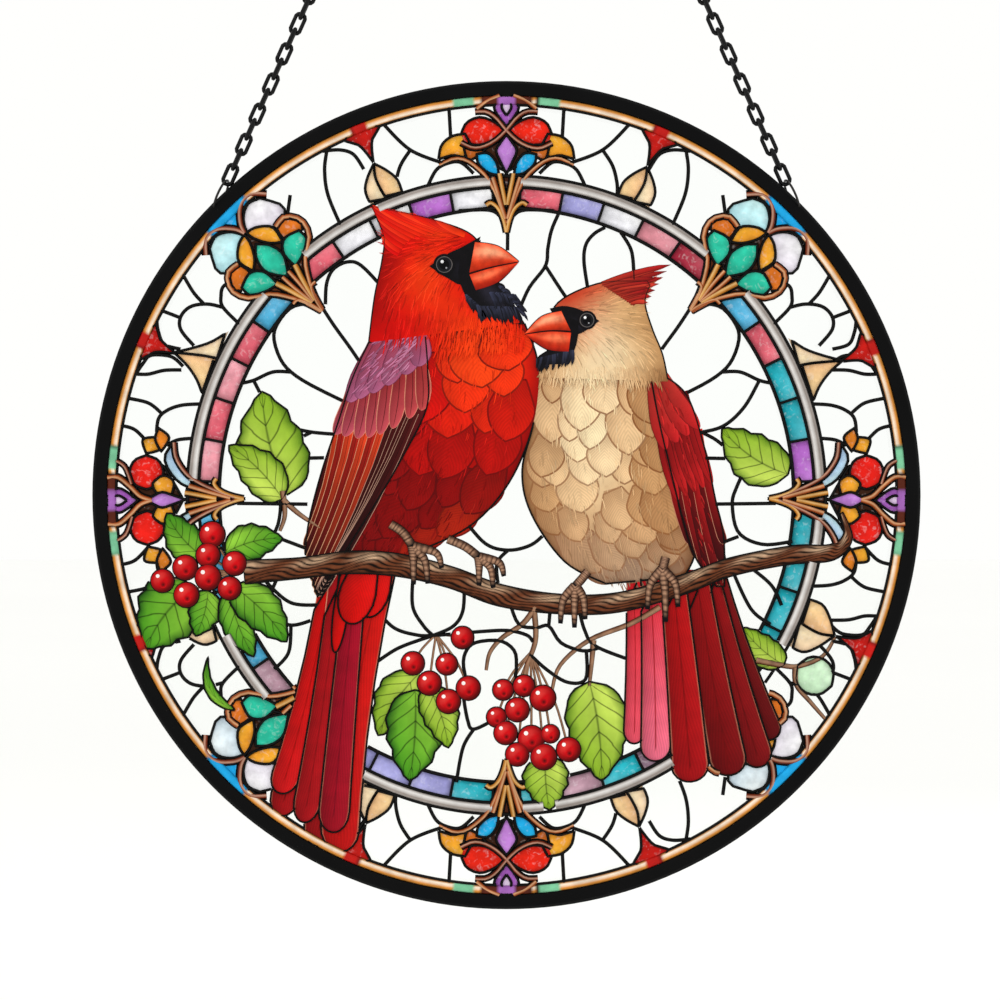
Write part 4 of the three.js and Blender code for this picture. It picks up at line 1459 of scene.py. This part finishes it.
# Lines above and under the branch.
BRANCH_LINES = [
    [(-10.5, -5.6), (-5.1, -11.7), (0.4, -13.3), (6, -12), (10, -8.6)],
    [(0.4, -13.3), (-2.3, -16.6), (-1.8, -23)],
    [(-32, -27), (-27.2, -32), (-21.5, -33.8), (-17.7, -33.9)],
    [(-32, -40.8), (-26, -36.9), (-17.7, -33.9)],
    [(-22.6, -20), (-22.6, -27), (-20, -31.6), (-17.7, -33.9)],
    [(-10.2, -21), (-10.5, -27.8), (-12.8, -31.6), (-17.7, -33.9)],
    [(-17.7, -33.9), (-12.4, -33.5), (-5.6, -32.9), (0.4, -32.7), (4.9, -33.8), (6.4, -35.4)],
    [(-9.2, -46.6), (-10.4, -41), (-9.6, -37.4), (-7.1, -35.5), (-1.5, -35.2), (1.9, -37.6), (2.4, -41.4),
     (2.1, -44)],
    [(0.8, -26), (3, -31.2), (7.2, -32), (10.2, -31.6), (13.2, -35.7), (18.5, -37.6), (22.3, -36.9)],
    [(10.6, -27), (10.2, -31.6)],
    [(17.4, -27), (18.9, -32.7), (21.6, -36.5), (31, -40.2)],
    [(19.3, -37.6), (19.1, -44.4), (14.8, -45.2), (9.8, -42.2), (5.6, -38.4)],
    [(-10.5, -48), (-9.4, -54.2), (-7.9, -56.5), (-2.6, -54)],
    [(-7.9, -56.5), (-10.5, -61), (-12.1, -69.3)],
]

# Full rings beside the came and the tiles, by radius and width.
RING_LINES = [(94.2, 0.8), (77.1, 0.8), (74.3, 0.8), (69.3, 0.9)]
upper = BORDER_LINES + FIELD_LINES
lower = [[(x, -y) for x, y in points] for points in BORDER_LINES]
left = [[(-x, y) for x, y in points] for points in upper + lower]
for points in upper + lower + left + ONE_SIDED_LINES + BRANCH_LINES:
    lead(line_of(points, 24), covers, LINE_WIDTH, 4)
for radius, width in RING_LINES:
    lead(arc(radius, 0, 360), covers, width)
for sector, row in enumerate(TILES):
    count = len(row.split())
    for i in range(count + 1):
        degrees = sector * 45 + STEM_ROOM + i * (45 - 2 * STEM_ROOM) / count
        lead([polar(TILE_INNER - 0.2, degrees), polar(TILE_OUTER, degrees)], covers, 0.7)
for i, shape in enumerate(covers):
    above = covers[i + 1 :]
    if shape[5] == "soft":
        above = above + [other for other in figures if other is not shape]
    lead(shape[4] + shape[4][:1], above, 0.7 if shape[5] == "pane" else 0.5)
piece("lead_lines", towards_viewer(bm), LEAD_MATERIAL, "leading")

# Silver came. A broad bright strip of tinned metal between the tile row and the border, with a rounded top.
# It is soldered down on the glass and cut where figures and stems cross it.
SILVER_RADIUS = 75.7
SILVER_WIDTH = 2.5
SILVER_HEIGHT = 0.85


# Grey tinned metal with dark edges as outline and two painted highlights along it.
def silver(u, v):
    lit = crown(u, 0.4, 0.14) + 0.5 * crown(u, 0.8, 0.06)
    body = blend(colour("241a18"), colour("8c8078"), 6 * (min(u, 1 - u) - 0.08))
    return blend(body, (1, 0.98, 0.96), 0.7 * lit)


bm = sheet()
strip(bm, arc(SILVER_RADIUS, 0, 360), covers, SILVER_WIDTH, SILVER_HEIGHT, silver, sides=8, least=8)
SILVER = laid_metal("silver_came", (0.4, 0.15, 0.15), (260, 0.85, 1.1), (700, 0.2, 0.0003))
piece("silver_strip", towards_viewer(bm), SILVER)

# Bronze came. A bright brown strip just inside the rim all the way round, with a rounded top. It is
# enamelled green beside the fleurs, blue behind the trefoils and red where the darts run through it.
CAME_RADIUS = 95.3
CAME_WIDTH = 2.2
CAME_HEIGHT = 0.9
bm = sheet()
came_metal = metal_tint("1c0a04", "d88c34", "fff6e4", 1)
enamels = [(FLEUR_TURN[i] + side * 6.2, 1.7, "7cc49a") for i in range(4) for side in (-1, 1)]
enamels += [(FLEUR_TURN[i], 1.5, "a868bc") for i in range(4)]
enamels += [(FLEUR_TURN[i], 3.9, "5a2210") for i in range(4)]
enamels += [(45 + 90 * i, 3.8, CYAN) for i in range(4)]
enamels += [(degrees, 1.3, "c21710") for degrees in DARTS]


def came(u, v):
    body = came_metal(u, v)
    for degrees, half, code in enamels:
        away = abs((360 * v - degrees + 180) % 360 - 180)
        if away < half:
            return blend(colour(code), colour("1c0a06"), 1 - 6 * (1 - away / half))
    return body


bead(bm, arc(CAME_RADIUS, 0, 360, 720), CAME_WIDTH, CAME_HEIGHT, came, STRIP_LIFT, sides=8)
piece("bronze_strip", towards_viewer(bm), BRONZE_STRIP, "bronze_came")

# Chains. Black oval wire links, alternately face on and edge on, from the jump rings up to the hanging
# ring. The jump rings are thin dark wire through the holes in the rim.
EYE_X, EYE_Y = polar(98.75, 45.5)
CHAIN_LEAN = 24.1
CHAIN_RUN = EYE_X / math.sin(math.radians(CHAIN_LEAN))
LINKS = 40
LINK_WIRE = 1.1
LINK_HALF = 1.2
JUMP_RADIUS = 3.9
JUMP_WIRE = 0.6
JUMP_TURN = 8
RIM_HALF = 2.2
SLACK = 0.12
HANGER_RADIUS = 6.2
HANGER_WIRE = 0.9


def wire_loop(radius, wire, stretch, turns, sides):
    """A closed loop of round wire, upright and facing the viewer: a ring whose halves are drawn apart."""
    bm = bmesh.new()
    bmesh.ops.create_circle(bm, segments=sides, radius=wire / 2)
    bmesh.ops.translate(bm, verts=bm.verts, vec=(radius, 0, 0))
    bmesh.ops.rotate(bm, verts=bm.verts, cent=(0, 0, 0), matrix=Matrix.Rotation(math.pi / 2, 3, "X"))
    bmesh.ops.rotate(bm, verts=bm.verts, cent=(0, 0, 0), matrix=Matrix.Rotation(math.pi / turns, 3, "Z"))
    bmesh.ops.spin(
        bm,
        geom=bm.verts[:] + bm.edges[:],
        cent=(0, 0, 0),
        axis=(0, 0, 1),
        dvec=(0, 0, 0),
        angle=2 * math.pi,
        steps=turns,
        use_merge=True,
        use_duplicate=False,
    )
    bmesh.ops.remove_doubles(bm, verts=bm.verts, dist=1e-4)
    bmesh.ops.translate(bm, verts=[v for v in bm.verts if v.co.y > 0], vec=(0, stretch, 0))
    bmesh.ops.translate(bm, verts=[v for v in bm.verts if v.co.y < 0], vec=(0, -stretch, 0))
    bmesh.ops.recalc_face_normals(bm, faces=bm.faces)
    for face in bm.faces:
        face.smooth = True
    return bm


def hang(bm, side):
    """Puts an upright chain that stands on the origin on the hole at one side of the rim."""
    leaning = Matrix.Rotation(math.radians(side * CHAIN_LEAN), 3, "Z")
    bmesh.ops.rotate(bm, verts=bm.verts, cent=(0, 0, 0), matrix=leaning)
    for vert in bm.verts:
        vert.co = place(side * EYE_X + vert.co.x, EYE_Y + vert.co.y, vert.co.z)
    return bm


BLACK_CHAIN = metal("black_chain", (0.004, 0.004, 0.0045), 0.4, 0.0, 0.15)
DARK_WIRE = metal("dark_wire", (0.02, 0.018, 0.016), 0.4, 0.2, 0.25)
sag = JUMP_RADIUS - math.sqrt(JUMP_RADIUS**2 - RIM_HALF**2)
jump_centre = JUMP_RADIUS - sag / 2
chain_start = jump_centre + JUMP_RADIUS - JUMP_WIRE / 2 - SLACK
chain_end = CHAIN_RUN - HANGER_RADIUS + HANGER_WIRE / 2 + SLACK
pitch = (chain_end - chain_start) / LINKS
for name, side in (("left", -1), ("right", 1)):
    bm = wire_loop(LINK_HALF, LINK_WIRE, pitch / 2 + LINK_WIRE / 2 - LINK_HALF, 12, 6)
    bmesh.ops.translate(bm, verts=bm.verts, vec=(0, chain_start + pitch / 2, 0))
    link = bm.verts[:] + bm.edges[:] + bm.faces[:]
    for i in range(1, LINKS):
        copy = bmesh.ops.duplicate(bm, geom=link)["geom"]
        corners = [item for item in copy if isinstance(item, bmesh.types.BMVert)]
        quarter = Matrix.Rotation(math.pi / 2 * (i % 2), 3, "Y")
        bmesh.ops.rotate(bm, verts=corners, cent=(0, 0, 0), matrix=quarter)
        bmesh.ops.translate(bm, verts=corners, vec=(0, i * pitch, 0))
    piece("links_" + name, hang(bm, side), BLACK_CHAIN, "chain_" + name)
    bm = wire_loop(JUMP_RADIUS, JUMP_WIRE, 0, 40, 8)
    turned = Matrix.Rotation(math.radians(90 + side * JUMP_TURN), 3, "Y")
    bmesh.ops.rotate(bm, verts=bm.verts, cent=(0, 0, 0), matrix=turned)
    bmesh.ops.translate(bm, verts=bm.verts, vec=(0, jump_centre, 0))
    piece("wire_ring_" + name, hang(bm, side), DARK_WIRE, "jump_ring_" + name)

# Hanging ring. A round ring of black wire that takes the top link of each chain. It goes over the hook in
# the window, which bears on the inside of its top.
HANGER_Y = EYE_Y + CHAIN_RUN * math.cos(math.radians(CHAIN_LEAN))
bm = wire_loop(HANGER_RADIUS, HANGER_WIRE, 0, 48, 10)
for vert in bm.verts:
    vert.co = place(vert.co.x, vert.co.y + HANGER_Y, vert.co.z)
bmesh.ops.recalc_face_normals(bm, faces=bm.faces)
piece("top_ring", bm, BLACK_CHAIN, "hanging_ring")

# Studio. A wide pale floor under the hanging part, an even white surround and soft light from the front and
# from behind. The camera stands straight in front of the panel.
FLOOR_Z = -0.42
FLOOR_HALF = 12
PANEL_MIDDLE = Vector((0, 0, -0.23))
CAMERA_SPOT = (-0.00156, -1.0072, -0.2335)
floor_mesh = bmesh.new()
bmesh.ops.create_grid(floor_mesh, x_segments=2, y_segments=2, size=FLOOR_HALF)
for vert in floor_mesh.verts:
    vert.co.z = FLOOR_Z
made = bpy.data.meshes.new("floor")
floor_mesh.to_mesh(made)
floor_mesh.free()
floor = bpy.data.objects.new("floor", made)
bpy.context.scene.collection.objects.link(floor)
PALE, tree, main = shader("pale_floor", 0.9, 0.0, 0.1)
mottled(tree, main, 0.5, 0.985, 1.0, (1.0, 1.0, 0.985))
made.materials.append(PALE)

world = bpy.data.worlds.new("studio")
world.use_nodes = True
world.node_tree.nodes["Background"].inputs["Color"].default_value = (1, 1, 0.985, 1)
world.node_tree.nodes["Background"].inputs["Strength"].default_value = 1.0
bpy.context.scene.world = world


def lamp(name, energy, size, spot):
    """A soft square light that points at the middle of the panel."""
    light = bpy.data.lights.new(name, "AREA")
    light.energy = energy
    light.size = size
    made = bpy.data.objects.new(name, light)
    made.location = spot
    aim = PANEL_MIDDLE - made.location
    made.rotation_euler = aim.to_track_quat("-Z", "Y").to_euler()
    bpy.context.scene.collection.objects.link(made)


lamp("key", 1.2, 0.5, (-0.7, -1.0, 0.5))
lamp("back", 1, 0.8, (0.5, 1.2, 0.4))

eye_point = bpy.data.cameras.new("camera")
eye_point.lens = 150
eye_point.sensor_width = 36
camera = bpy.data.objects.new("camera", eye_point)
camera.location = CAMERA_SPOT
camera.rotation_euler = (math.pi / 2, 0, 0)
bpy.context.scene.collection.objects.link(camera)
bpy.context.scene.camera = camera
bpy.context.scene.view_settings.view_transform = "Standard"
